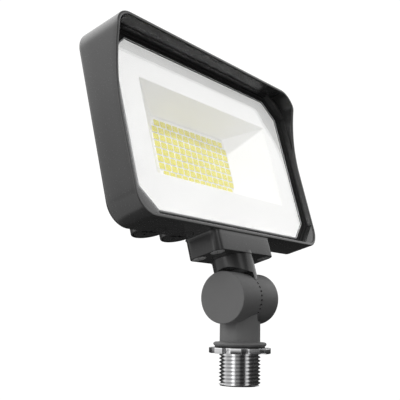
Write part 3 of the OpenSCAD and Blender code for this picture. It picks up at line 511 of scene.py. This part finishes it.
block = {"halfW": 26.5, "halfD": 10.4, "corner": 4.5, "forward": 0.8, "low": 21.0, "top": 29.6, "edge": 0.4,
         "screwX": 21.9, "screwY": 5.8, "wellRadius": 3.8, "wellDepth": 1.3, "headRadius": 3.7,
         "headEdge": 0.12, "cross": (1.5, 0.3, 0.5), "shankRadius": 2.0, "shankTop": 32.6, "overlap": 0.1,
         "turns": (20.0, 35.0), "headSteps": 48, "shankSteps": 20, "perCorner": 12, "perSide": 6,
         # the pad over it as (inset, height over the housing's underside)
         "padRows": ((0, 1.2), (-0.5, 0.02), (-0.12, -0.25), (0, -0.7))}


def blockLoop(inset, height):
    # the block's outline seen from above, drawn inwards at a height
    b = block
    loop = rectLoop(b["halfW"] - inset, b["halfD"] - inset, b["corner"] - inset, -b["forward"],
                    b["perCorner"], b["perSide"])
    return np.column_stack([loop, np.full(len(loop), height)])


def screwPlaces():
    # which way each of the block's four screws lies from the middle, and its centre
    b = block
    return [(sx, sy, (sx * b["screwX"], sy * b["screwY"] - b["forward"])) for sx in (-1, 1) for sy in (-1, 1)]


def holedFace(outline, holes):
    # flat face that looks down, between an outline and its holes, as triangles that share their points
    loops = [outline] + holes
    triangles = geometry.tessellate_polygon([[Vector(p) for p in loop] for loop in loops])
    points = np.concatenate(loops)
    faces = []
    for a, b, c in triangles:
        turn = np.cross(points[b] - points[a], points[c] - points[a])[2]
        faces.append([c, b, a] if turn > 0 else [a, b, c])
    return points, faces


def welded(shell):
    # joins points that lie on each other and turns the faces outwards
    points, faces = shell
    mesh = bmesh.new()
    made = [mesh.verts.new(p) for p in points]
    for face in faces:
        mesh.faces.new([made[i] for i in face])
    bmesh.ops.remove_doubles(mesh, verts=mesh.verts, dist=weldReach)
    bmesh.ops.recalc_face_normals(mesh, faces=mesh.faces)
    mesh.verts.index_update()
    result = (np.array([v.co for v in mesh.verts]), [[v.index for v in f.verts] for f in mesh.faces])
    mesh.free()
    return result


def openLoft(loops):
    # rows of closed loops joined by quads, with open ends
    loops = np.asarray(loops, float)
    return loops.reshape(-1, 3), gridQuads(*loops.shape[:2]).tolist()


def capFace(loop):
    # one flat face inside a loop
    return loop, [list(range(len(loop)))]


def blockShell():
    # rounded block with four wells for its screws in the lower face
    b = block
    low, edge = b["low"], b["edge"]
    arc = arcShare * edge
    rim = blockLoop(edge, low)
    sides = [blockLoop(0, b["top"]), blockLoop(0, low + edge), blockLoop(arc, low + arc), rim]
    centres = [centre for _, _, centre in screwPlaces()]
    wells = [circleLoop(centre, b["wellRadius"], low) for centre in centres]
    parts = [openLoft(sides), capFace(sides[0]), holedFace(rim, wells)]
    for centre, well in zip(centres, wells):
        floor = circleLoop(centre, b["wellRadius"], low + b["wellDepth"])
        parts += [openLoft([well, floor]), capFace(floor)]
    return welded(joinShells(parts))


def padShell():
    # low pad cast under the housing, over the block
    rows = [blockLoop(inset, housing["low"] + rise) for inset, rise in block["padRows"]]
    return loftShell(rows + [blockLoop(0, block["top"] + hair)])


# the knuckle

knuckle = {"radius": 13.1, "half": 16.64, "gap": 0.02, "edge": 0.55, "teeth": 36, "toothDepth": 0.8,
           "toothTurn": 3.0, "toothIn": 10.0, "toothEdge": 0.04, "toothEnd": 1.6, "flank": 1.8,
           "chamber": 8.0, "chamberDepth": 7.5, "hub": 5.2, "bolt": 4.05, "boltEnd": 12.64, "pole": 0.01,
           "sealRadius": 9.8, "sealDepth": 0.9, "recess": 7.0, "recessFloor": 10.5, "recessEdge": 0.4,
           "clear": 15.3, "edgeSteps": 4,
           "postSink": 1.2, "postEdge": 0.25, "postWidth": 12, "postColumns": 96,
           "postRings": (1.0, 0.985, 0.9, 0.75, 0.55, 0.35, 0.15, 0.02)}


def toothAngles():
    # six columns for each tooth: the notch's middle, its flanks and the tooth's flat top
    k = knuckle
    pitch = 360.0 / k["teeth"]
    steps = np.array([0.0, k["toothTurn"] / 2, k["toothTurn"], pitch / 2, pitch - k["toothTurn"],
                      pitch - k["toothTurn"] / 2])
    return np.radians((np.arange(k["teeth"])[:, None] * pitch + steps).ravel())


def discShell(outward):
    # half knuckle turned about the hinge, as rows of (radius, distance from the middle plane, share of the
    # notches). The notches are radial, as deep as toothDepth at their middle and nothing at toothTurn degrees
    # from it. The lower half is turned back by the lean, so that they meet at rest
    k = knuckle
    a = toothAngles()
    pitch = 2 * math.pi / k["teeth"]
    off = np.abs((a + pitch / 2) % pitch - pitch / 2)
    notch = k["toothDepth"] * np.clip(k["flank"] * (1 - off / math.radians(k["toothTurn"])), 0, 1)
    turned = a - math.asin(leanSin) if outward < 0 else a
    edge, gap, corner = k["edge"], k["gap"], k["recessEdge"]
    inner = [(k["bolt"], gap), (k["hub"], gap), (k["hub"], k["chamberDepth"]),
             (k["chamber"], k["chamberDepth"]), (k["chamber"], k["sealDepth"]),
             (k["sealRadius"], k["sealDepth"]), (k["sealRadius"], gap), (k["toothIn"], gap)]
    teeth = [(k["toothIn"] + hair, gap, 1), (k["radius"] - k["toothEdge"], gap, 1),
             (k["radius"], gap + k["toothEdge"], 1)]
    outer = ([(k["radius"], gap + k["toothEnd"])]
             + arcPoints((k["radius"] - edge, k["half"] - edge), edge, 0, 90, k["edgeSteps"]))
    if outward > 0:
        start = []
        ends = [(k["recess"] + corner, k["half"]), (k["recess"], k["half"] - corner),
                (k["recess"], k["recessFloor"]), (k["bolt"], k["recessFloor"])]
    else:
        start = [(k["pole"], k["boltEnd"]), (k["bolt"], k["boltEnd"])]
        ends = [(k["pole"], k["half"])]
    rows = [(r, d, 0) for r, d in start + inner] + teeth + [(r, d, 0) for r, d in outer + ends]
    radius, distance, share = np.array(rows).T[..., None]
    points = np.stack([outward * (distance + share * notch), radius * np.cos(turned),
                       radius * np.sin(turned)], -1)
    return welded(loftShell(points, wrapRows=outward > 0))


def postRows(profile, radius, side, height, flip=1, middle=0.0):
    # a round post: its profile of (radius, height), then rows that close its end in a saddle below the hinge,
    # by the clearance on the side of the other half and inside its own. A flipped post comes from above. No
    # column lies on the hinge's middle plane
    k = knuckle
    a = (np.arange(k["postColumns"]) + 0.5) * 2 * math.pi / k["postColumns"]
    rows = [ringOf(a, r, z, (0.0, middle)) for r, z in profile]
    for share in k["postRings"]:
        x, y, _ = ringOf(a, radius * share, 0.0, (0.0, middle)).T
        reach = np.where(x * side > k["gap"], k["clear"], k["radius"] - k["postSink"])
        drop = np.sqrt(reach ** 2 - np.clip(y, -k["postWidth"], k["postWidth"]) ** 2)
        edge = k["postEdge"] if share == 1.0 else 0.0
        rows.append(np.stack([x, y, height - flip * (drop + edge)], -1))
    return rows


stem = {"radius": 10.35, "flangeRadius": 13.6, "flangeLow": 3.55, "socket": 8.65, "socketTop": 9.15,
        "fillet": 0.5,
        # the flange's rim as (inset, height over its underside)
        "flangeRim": ((0.9, 0), (0.35, 0.35), (0, 0.95), (0.05, 1.3), (0.35, 1.75), (0.9, 2.0))}


def stemShell():
    # nipple socket, flange and round stem under the left half of the knuckle
    s = stem
    low, radius, fillet = s["flangeLow"], s["radius"], s["fillet"]
    top = low + s["flangeRim"][-1][1]
    profile = ([(pole, s["socketTop"]), (s["socket"], s["socketTop"]), (s["socket"], low)]
               + [(s["flangeRadius"] - inset, low + rise) for inset, rise in s["flangeRim"]]
               + [(radius + fillet, top), (radius + arcShare / 2 * fillet, top + arcShare * fillet),
                  (radius, top + fillet)])
    return loftShell(postRows(profile, radius, 1, hingeHeight))


neck = {"radius": 10.8, "fillet": 0.35, "forward": 0.3, "sink": 1.5}


def neckShell():
    # round neck between the block and the right half of the knuckle, made upside down like the stem
    n = neck
    low, radius, fillet = block["low"], n["radius"], n["fillet"]
    profile = [(pole, low + n["sink"]), (radius + fillet, low + n["sink"]), (radius + fillet, low),
               (radius + arcShare * fillet, low - arcShare * fillet), (radius, low - fillet)]
    return loftShell(postRows(profile, radius, -1, 0.0, -1, -n["forward"]))


# threaded nipple and locknut

thread = {"crest": 10.6, "root": 9.25, "pitch": 1.814, "length": 16.0, "bore": 6.4, "boreEdge": 0.3,
          "shank": 8.6, "top": 9.15, "endRadius": 10.0, "endSlope": 1.1, "endEdge": 0.4, "start": 3.3,
          # the colour of the painted shade at the thread's root, and the span between root and crest over
          # which it fades to the steel
          "columns": 96, "paintedRootShade": (0.24, 0.24, 0.245), "paintedShadeSpan": (0.1, 0.8)}


def nippleShell():
    # right-handed thread: radius falls from each crest to the root by straight flanks, and the crest climbs
    # one pitch for each turn. Points past the ends are drawn back to them, under an end chamfer
    t = thread
    a = np.linspace(0, 2 * math.pi, t["columns"] + 1)
    climb = a / (2 * math.pi) * t["pitch"]
    low, top, bore, edge = -t["length"], t["top"], t["bore"], t["boreEdge"]
    turns = int(math.ceil((t["length"] + t["start"]) / t["pitch"])) + 2
    rows = []
    for turn in range(turns):
        for phase, radius in ((0.0, t["crest"]), (0.5, t["root"])):
            z = np.clip(low - t["pitch"] + (turn + phase) * t["pitch"] + climb, low, t["start"])
            r = np.minimum(radius, t["endRadius"] + (z - low) * t["endSlope"])
            rows.append(ringOf(a, np.where(z >= t["start"], t["root"], r), z))
    ends = [(t["shank"], t["start"]), (t["shank"], top), (bore + edge, top), (bore, top - edge),
            (bore, low + t["endEdge"]), (bore + t["endEdge"], low)]
    loops = np.array([ringOf(a, t["endRadius"], low)] + rows + [ringOf(a, r, z) for r, z in ends])
    faces = gridQuads(len(loops), len(a), False, True).tolist()
    return welded((loops.reshape(-1, 3), faces))


nut = {"radius": 13.2, "lugRadius": 15.5, "lugs": 10, "lugShare": 0.55, "rootTurn": 0.4, "turn": 25.6,
       "height": 2.8, "bore": 9.45, "boreEdge": 0.3, "edge": 0.25, "lugSteps": 5, "rootSteps": 6}


def nutShell():
    # outline of a circle with square lugs, drawn in at both faces
    n = nut
    lugHalf = n["lugRadius"] * math.pi * n["lugShare"] / n["lugs"]
    base = math.degrees(math.asin(lugHalf / n["radius"]))
    tip = math.degrees(math.atan2(lugHalf, n["lugRadius"]))
    pitch = 360.0 / n["lugs"]
    across = np.linspace(-tip, tip, n["lugSteps"])
    between = np.linspace(base + n["rootTurn"], pitch - base - n["rootTurn"], n["rootSteps"])
    angles = np.concatenate([[-base], across, [base], between])
    radii = np.full(len(angles), n["radius"])
    radii[1:1 + n["lugSteps"]] = n["lugRadius"] / np.cos(np.radians(across))
    a = np.radians((n["turn"] + np.arange(n["lugs"])[:, None] * pitch + angles).ravel())
    r = np.tile(radii, n["lugs"])
    top, edge, bore, boreEdge = n["height"], n["edge"], n["bore"], n["boreEdge"]
    arc = arcShare * edge
    outside = [(edge, 0), (arc, arc), (0, edge), (0, top - edge), (arc, top - arc), (edge, top)]
    inside = [(bore + boreEdge, top), (bore, top - boreEdge), (bore, boreEdge), (bore + boreEdge, 0)]
    return loftShell([ringOf(a, r - inset, z) for inset, z in outside]
                     + [ringOf(a, radius, z) for radius, z in inside], wrapRows=True)


# glass, seal, reflector and diodes

def glassShell():
    # flat pane with a small chamfer behind and a wider one in front
    g = glass
    rows = [(-g["edge"], -g["back"]), (0, -g["back"] - g["edge"]), (0, -g["front"] + g["chamfer"]),
            (-g["chamfer"], -g["front"])]
    return loftShell([glassLoop(*row, g["perCorner"], g["perSide"]) for row in rows])


seal = {"lip": 7.8, "low": 6.7, "lipWidth": 1.4, "gap": 0.3, "gapEdge": 0.1, "outside": 0.2, "edge": 0.2,
        "draft": 0.3}


def sealShell():
    # rubber ring round the glass, with a lip along the recess wall
    s = seal
    seat, lip, low = -housing["seat"], -s["lip"], -s["low"]
    side, width, edge = s["outside"], s["lipWidth"], s["edge"]
    outer = [(side, seat), (side, lip + edge), (side + edge, lip), (width, lip), (width + edge, lip + edge),
             (width + s["draft"], low)]
    inner = [(s["gap"] + s["gapEdge"], low), (s["gap"], low + s["gapEdge"]), (s["gap"], seat)]
    return loftShell([recessLoop(*row) for row in outer] + [glassLoop(*row) for row in inner], wrapRows=True)


mirror = {"halfW": 58.45, "halfH": 25.5, "windowZ": 82.85, "corner": 0.6, "edge": 0.5, "thick": 1.0,
          "inset": 0.5, "rim": 0.2, "lift": 0.05, "floorHalfW": 35.6, "floorHalfH": 19.0,
          "floorCut": (2.6, 9.5), "cutGrow": (0.6, 0.2), "floor": 10.3, "out": 1.3,
          "backFoot": ((0.4, 0.2), (2.0, -0.05)), "perCorner": 7, "perSide": 10}


def reflectorShell():
    # flange under the glass, rounded window edge, four straight walls and four corner facets to the floor
    m = mirror
    seat = -housing["seat"]
    front = seat - m["thick"]
    grid = (m["perCorner"], m["perSide"])
    inset, rim, edge = m["inset"], m["rim"], m["edge"]

    def window(grow, depth):
        return atDepth(rectLoop(m["halfW"] + grow, m["halfH"] + grow, m["corner"] + max(grow, 0),
                                m["windowZ"], *grid), depth)

    def floorLoop(grow):
        cut = [c + share * grow for c, share in zip(m["floorCut"], m["cutGrow"])]
        return atDepth(rectLoop(m["floorHalfW"] + grow, m["floorHalfH"] + grow, 0, glass["midZ"], *grid, cut),
                       m["floor"])

    rows = [glassLoop(-inset, seat - m["lift"], *grid), glassLoop(-inset, front + rim, *grid),
            glassLoop(-inset - rim, front, *grid), window(edge, front),
            window(arcShare * edge, front + arcShare * edge), window(0, front + edge), floorLoop(0),
            floorLoop(m["out"])]
    rows += [window(m["out"] + grow, seat + rise) for grow, rise in m["backFoot"]]
    return loftShell(rows, wrapRows=True)


diodes = {"columns": 13, "rows": 8, "pitchX": 5.365, "pitchZ": 4.254, "board": 10.5,
          # half width and height, corner and how fast it shrinks with the inset, points per corner, and
          # the rows as (inset, height over the board)
          "case": (2.3, 1.75, 0.3, 0.0, 3, ((0, 0), (0, 0.35), (0.1, 0.45))),
          "pad": (2.2, 1.66, 0.55, 0.5, 5, ((0, 0.35), (0, 0.6), (0.08, 0.68), (0.3, 0.7)))}


def diodePlaces():
    # full rows, with a shorter, shifted row at the top and the bottom
    d = diodes
    places = []
    for row in range(d["rows"]):
        count = d["columns"] - 1 if row in (0, d["rows"] - 1) else d["columns"]
        xs = (np.arange(count) - (count - 1) / 2) * d["pitchX"]
        z = glass["midZ"] + (row - (d["rows"] - 1) / 2) * d["pitchZ"]
        places += [(x, 0.0, z) for x in xs]
    return places


def diodeShells(part):
    # the same small rounded slab at every diode's place
    halfW, halfH, corner, shrink, perCorner, steps = diodes[part]
    rows = [atDepth(rectLoop(halfW - inset, halfH - inset, corner - shrink * inset, 0, perCorner, 1),
                    diodes["board"] - height) for inset, height in steps]
    return copiesOf(loftShell(rows), diodePlaces())


# plugs and screws with a cross recess

recessDraft = 0.15  # how far a cross recess narrows on its way down, as a share of its depth


def crossLoop(arm, half, height, turn, centre):
    # twelve corners of a cross, turned
    quarter = np.array([(arm, -half), (arm, half), (half, half)])
    cross = np.concatenate([quarter, quarter[:, ::-1] * [-1, 1], -quarter, quarter[:, ::-1] * [1, -1]])
    c, s = math.cos(math.radians(turn)), math.sin(math.radians(turn))
    x = cross[:, 0] * c - cross[:, 1] * s + centre[0]
    y = cross[:, 0] * s + cross[:, 1] * c + centre[1]
    return np.stack([x, y, np.full(12, height)], -1)


def crossHead(radius, height, cross, edge, turn, centre, steps):
    # round head whose face looks down at height 0 and carries a cross recess: half length, half width, depth
    arm, half, depth = cross
    arc, draft = arcShare * edge, recessDraft * depth
    sides = [circleLoop(centre, radius - inset, z, steps)
             for inset, z in ((edge, 0), (arc, arc), (0, edge), (0, height))]
    mouth = crossLoop(arm, half, 0, turn, centre)
    floor = crossLoop(arm - draft, half - draft, depth, turn, centre)
    return welded(joinShells([openLoft(sides), capFace(sides[-1]), holedFace(sides[0], [mouth]),
                              openLoft([mouth, floor]), capFace(floor)]))


def plugShell(x):
    # a plug's head in its well
    p = plugs
    head = crossHead(p["radius"], p["height"], p["cross"], p["edge"], p["turn"], (x, p["back"]),
                     p["headSteps"])
    return copiesOf(head, [(0, 0, housing["low"] + p["sink"])])


def blockScrewShells():
    # four heads in the block's wells, each turned its own way, with their shanks
    b = block
    shells = []
    for sx, sy, centre in screwPlaces():
        turn = sx * b["turns"][0] + sy * b["turns"][1]
        head = crossHead(b["headRadius"], b["wellDepth"], b["cross"], b["headEdge"], turn, centre,
                         b["headSteps"])
        shells.append(copiesOf(head, [(0, 0, b["low"] + hair)]))
        ends = (b["low"] + b["wellDepth"] - b["overlap"], b["shankTop"])
        shells.append(loftShell([circleLoop(centre, b["shankRadius"], z, b["shankSteps"]) for z in ends]))
    return joinShells(shells)


def inHead(shell):
    # a shell turned from head coordinates into the row frame
    points, faces = shell
    return fromHead(points), faces


def boredShell(shell, bars):
    # takes closed bars out of a closed shell
    body = newObject("body", *shell)
    bar = newObject("bar", *bars)
    cut = body.modifiers.new("cut", "BOOLEAN")
    cut.operation = "DIFFERENCE"
    cut.solver = "EXACT"
    cut.object = bar
    bpy.context.view_layer.update()
    made = bpy.data.meshes.new_from_object(body.evaluated_get(bpy.context.evaluated_depsgraph_get()))
    result = (np.array([v.co for v in made.vertices]), [list(f.vertices) for f in made.polygons])
    for mesh in (body.data, bar.data, made):
        bpy.data.meshes.remove(mesh)
    return result


wellBars = welded(joinShells([wellBar(x) for x in plugs["x"]]))
housingShells = [("housingCasting", boredShell(welded(castShell()), wellBars)),
                 ("coolingFins", welded(finShells()))]
for side, x in zip(("Left", "Right"), plugs["x"]):
    housingShells.append(("plugBoss" + side, joinShells([welded(shell) for shell in bossShells(x)])))
housingShells.append(("blockPad", welded(padShell())))
for name, shell in housingShells:
    addPiece(name, inHead(shell), "head", ["housing"], "greyCoat")
print("housing made")

for name, shell, finish in (("upperBlock", blockShell(), "blockCoat"),
                            ("upperNeck", welded(neckShell()), "blockCoat"),
                            ("upperDisc", discShell(1), "knuckleCoat")):
    addPiece(name, inHead(shell), "head", ["upper_knuckle"], finish)
for name, shell in (("lowerDisc", copiesOf(discShell(-1), [(0, 0, hingeHeight)])),
                    ("lowerStem", welded(stemShell()))):
    addPiece(name, shell, "base", ["lower_knuckle"], "knuckleCoat")
# the nipple's thread: zinc steel with painted shade, darker towards the thread's root
materials["zincThreadPaintedShade"] = threadPaintedShadeFinish("zincThreadPaintedShade", finishes["zincSteel"], thread)
addPiece("threadedNipple", nippleShell(), "base", ["nipple"], "zincThreadPaintedShade", smooth=115)
addPiece("luggedNut", welded(nutShell()), "locknut", ["locknut"], "zincSteel")
print("knuckle, nipple and nut made")

pane = addPiece("glassPane", inHead(welded(glassShell())), "head", ["lens"], "clearGlass")
pane.data.materials.append(materials["groundGlass"])  # on the edge, all but the two flat faces made last
pane.data.polygons.foreach_set("material_index", [1] * (len(pane.data.polygons) - 2) + [0, 0])
addPiece("glassSeal", inHead(welded(sealShell())), "head", ["lens_seal"], "blackRubber")
tray = addPiece("reflectorTray", inHead(welded(reflectorShell())), "head", ["reflector"],
                "reflectorWhite", smooth=20)
cases = addPiece("diodeCases", inHead(welded(diodeShells("case"))), "head", ["leds"],
                 "boardWhite")
pads = addPiece("diodePads", inHead(welded(diodeShells("pad"))), "head", ["leds"], "phosphor")
print("glass, reflector and diodes made")

for colour, x in zip(("wattage", "colour"), plugs["x"]):
    plug = colour + "_plug"
    addPiece(colour + "PlugHead", inHead(plugShell(x)), plug, [plug], "greyCoat")
addPiece("blockScrewHeads", inHead(blockScrewShells()), "head", ["block_screws"],
         "coatedSteel")
print("plugs and screws made")


# studio: camera, lights, floor

paperWhite = 1.05  # brightness of the background and the floor to the eye

# place in metres, and turns in radians: yaw from +Y towards +X, pitch upwards, roll about the view
cameraSettings = {"place": (-0.318558, -0.206738, 0.017298), "yaw": 0.938074, "pitch": 0.160125,
                  "roll": 0.0183045, "lens": 65.715, "sensor": 36, "nearest": 0.01}


def addCamera(settings):
    camera = bpy.data.objects.new("camera", bpy.data.cameras.new("camera"))
    bpy.context.scene.collection.objects.link(camera)
    yaw, pitch, roll = settings["yaw"], settings["pitch"], settings["roll"]
    ahead = Vector((math.sin(yaw) * math.cos(pitch), math.cos(yaw) * math.cos(pitch), math.sin(pitch)))
    side = ahead.cross(Vector((0, 0, 1))).normalized()
    top = side.cross(ahead)
    right = math.cos(roll) * side + math.sin(roll) * top
    up = math.cos(roll) * top - math.sin(roll) * side
    turn = Matrix((right, up, -ahead)).transposed().to_4x4()
    camera.matrix_world = Matrix.Translation(settings["place"]) @ turn
    camera.data.lens = settings["lens"]
    camera.data.sensor_width = settings["sensor"]
    camera.data.clip_start = settings["nearest"]
    bpy.context.scene.camera = camera


boxSettings = {
    # soft boxes far away: azimuth, height, half width, half height and softness in degrees, and brightness
    "leftTall": (177, 2, 9, 40, 5, 1.6),
    "leftHigh": (156, 44, 45, 31, 20, 1.5),
    "frontTall": (257, 0, 10, 40, 5, 1.15),
    "leftLow": (145, -34, 34, 34, 10, 1.0),
    "glassPanel": (-26, 24, 34, 18, 1, 1.2),
    "overhead": (230, 80, 40, 40, 30, 0.4),
    "backHigh": (75, 38, 40, 26, 15, 1.1),
}
worldSettings = {"low": 0.035, "high": 0.2, "start": -0.2, "end": 0.8}
boxFront = 0.05  # a box shines only on its own side of the sky, from this share of straight towards it


def skyDirection(azimuth, height):
    turn, lift = math.radians(azimuth), math.radians(height)
    return math.cos(turn) * math.cos(lift), math.sin(turn) * math.cos(lift), math.sin(lift)


def boxGlow(tree, place, azimuth, height, halfWidth, halfHeight, soft, brightness):
    # brightness inside a box on the sky: the direction's share across and up the box, each fading at its edge
    edge = math.sin(math.radians(soft))
    inside = []
    across, upward = skyDirection(azimuth + 90, 0), skyDirection(azimuth, height + 90)
    for axis, half in ((across, halfWidth), (upward, halfHeight)):
        size = mathOf(tree, "ABSOLUTE", vectorOf(tree, "DOT_PRODUCT", place, axis))
        reach = math.sin(math.radians(half))
        inside.append(rangeOf(tree, size, 1.0, 0.0, reach - edge / 2, reach + edge / 2))
    facing = vectorOf(tree, "DOT_PRODUCT", place, skyDirection(azimuth, height))
    return mathOf(tree, "MULTIPLY", mathOf(tree, "MULTIPLY", *inside),
                  rangeOf(tree, facing, 0.0, brightness, 0.0, boxFront))


def addWorld(settings, boxes):
    # dim below, brighter above and soft boxes for light, plain white for the eye
    world = bpy.data.worlds.new("studio")
    bpy.context.scene.world = world
    world.use_nodes = True
    tree = world.node_tree
    tree.nodes.clear()
    place = tree.nodes.new("ShaderNodeTexCoord").outputs["Generated"]
    parts = tree.nodes.new("ShaderNodeSeparateXYZ")
    tree.links.new(place, parts.inputs["Vector"])
    total = rangeOf(tree, parts.outputs["Z"], **settings)
    for box in boxes.values():
        total = mathOf(tree, "ADD", total, boxGlow(tree, place, *box))
    ambient, white = [tree.nodes.new("ShaderNodeBackground") for _ in range(2)]
    for background in (ambient, white):
        background.inputs["Color"].default_value = (1, 1, 1, 1)
    tree.links.new(total, ambient.inputs["Strength"])
    white.inputs["Strength"].default_value = paperWhite
    mixByRay(tree, "Is Camera Ray", ambient.outputs["Background"], white.outputs["Background"],
             tree.nodes.new("ShaderNodeOutputWorld").inputs["Surface"])


lampSettings = {
    # lamps for the white parts behind the glass, which alone take them and throw their shadows: a broad one
    # in front and a sharp one from high in front, both a little to the left. Turns in degrees
    "reflectorFill": {"azimuth": 246, "height": 6, "angle": 30, "strength": 0.95},
    "reflectorKey": {"azimuth": 236, "height": 57, "angle": 2, "strength": 1.15},
}


def addLamp(name, settings, pieces):
    lamp = bpy.data.objects.new(name, bpy.data.lights.new(name, "SUN"))
    bpy.context.scene.collection.objects.link(lamp)
    source = Vector(skyDirection(settings["azimuth"], settings["height"]))
    lamp.rotation_euler = source.to_track_quat("Z", "Y").to_euler()
    lamp.data.angle = math.radians(settings["angle"])
    lamp.data.energy = settings["strength"]
    group = bpy.data.collections.new(name + "Takers")
    for piece in pieces:
        group.objects.link(piece)
    lamp.light_linking.receiver_collection = group
    lamp.light_linking.blocker_collection = group


floorSettings = {"drop": 0.60, "radius": 0.42, "sides": 64, "grey": 0.07, "roughness": 0.9}


def addFloor(settings):
    # round pale floor far below the light, white to the eye and grey in reflections
    rim = circleLoop((0, 0), settings["radius"], -settings["drop"], settings["sides"])
    floor = newObject("floor", rim, [list(range(len(rim)))])
    material, tree, shader = newMaterial("paleFloor")
    shader.inputs["Base Color"].default_value = (settings["grey"],) * 3 + (1,)
    shader.inputs["Roughness"].default_value = settings["roughness"]
    glow = tree.nodes.new("ShaderNodeEmission")
    glow.inputs["Strength"].default_value = paperWhite
    mixByRay(tree, "Is Camera Ray", shader.outputs["BSDF"], glow.outputs["Emission"],
             tree.nodes["Material Output"].inputs["Surface"])
    floor.data.materials.append(material)


addCamera(cameraSettings)
addWorld(worldSettings, boxSettings)
for name, settings in lampSettings.items():
    addLamp(name, settings, (tray, cases, pads, nodes["led_board"]))
addFloor(floorSettings)
bpy.context.scene.view_settings.view_transform = "Standard"
print("studio set")
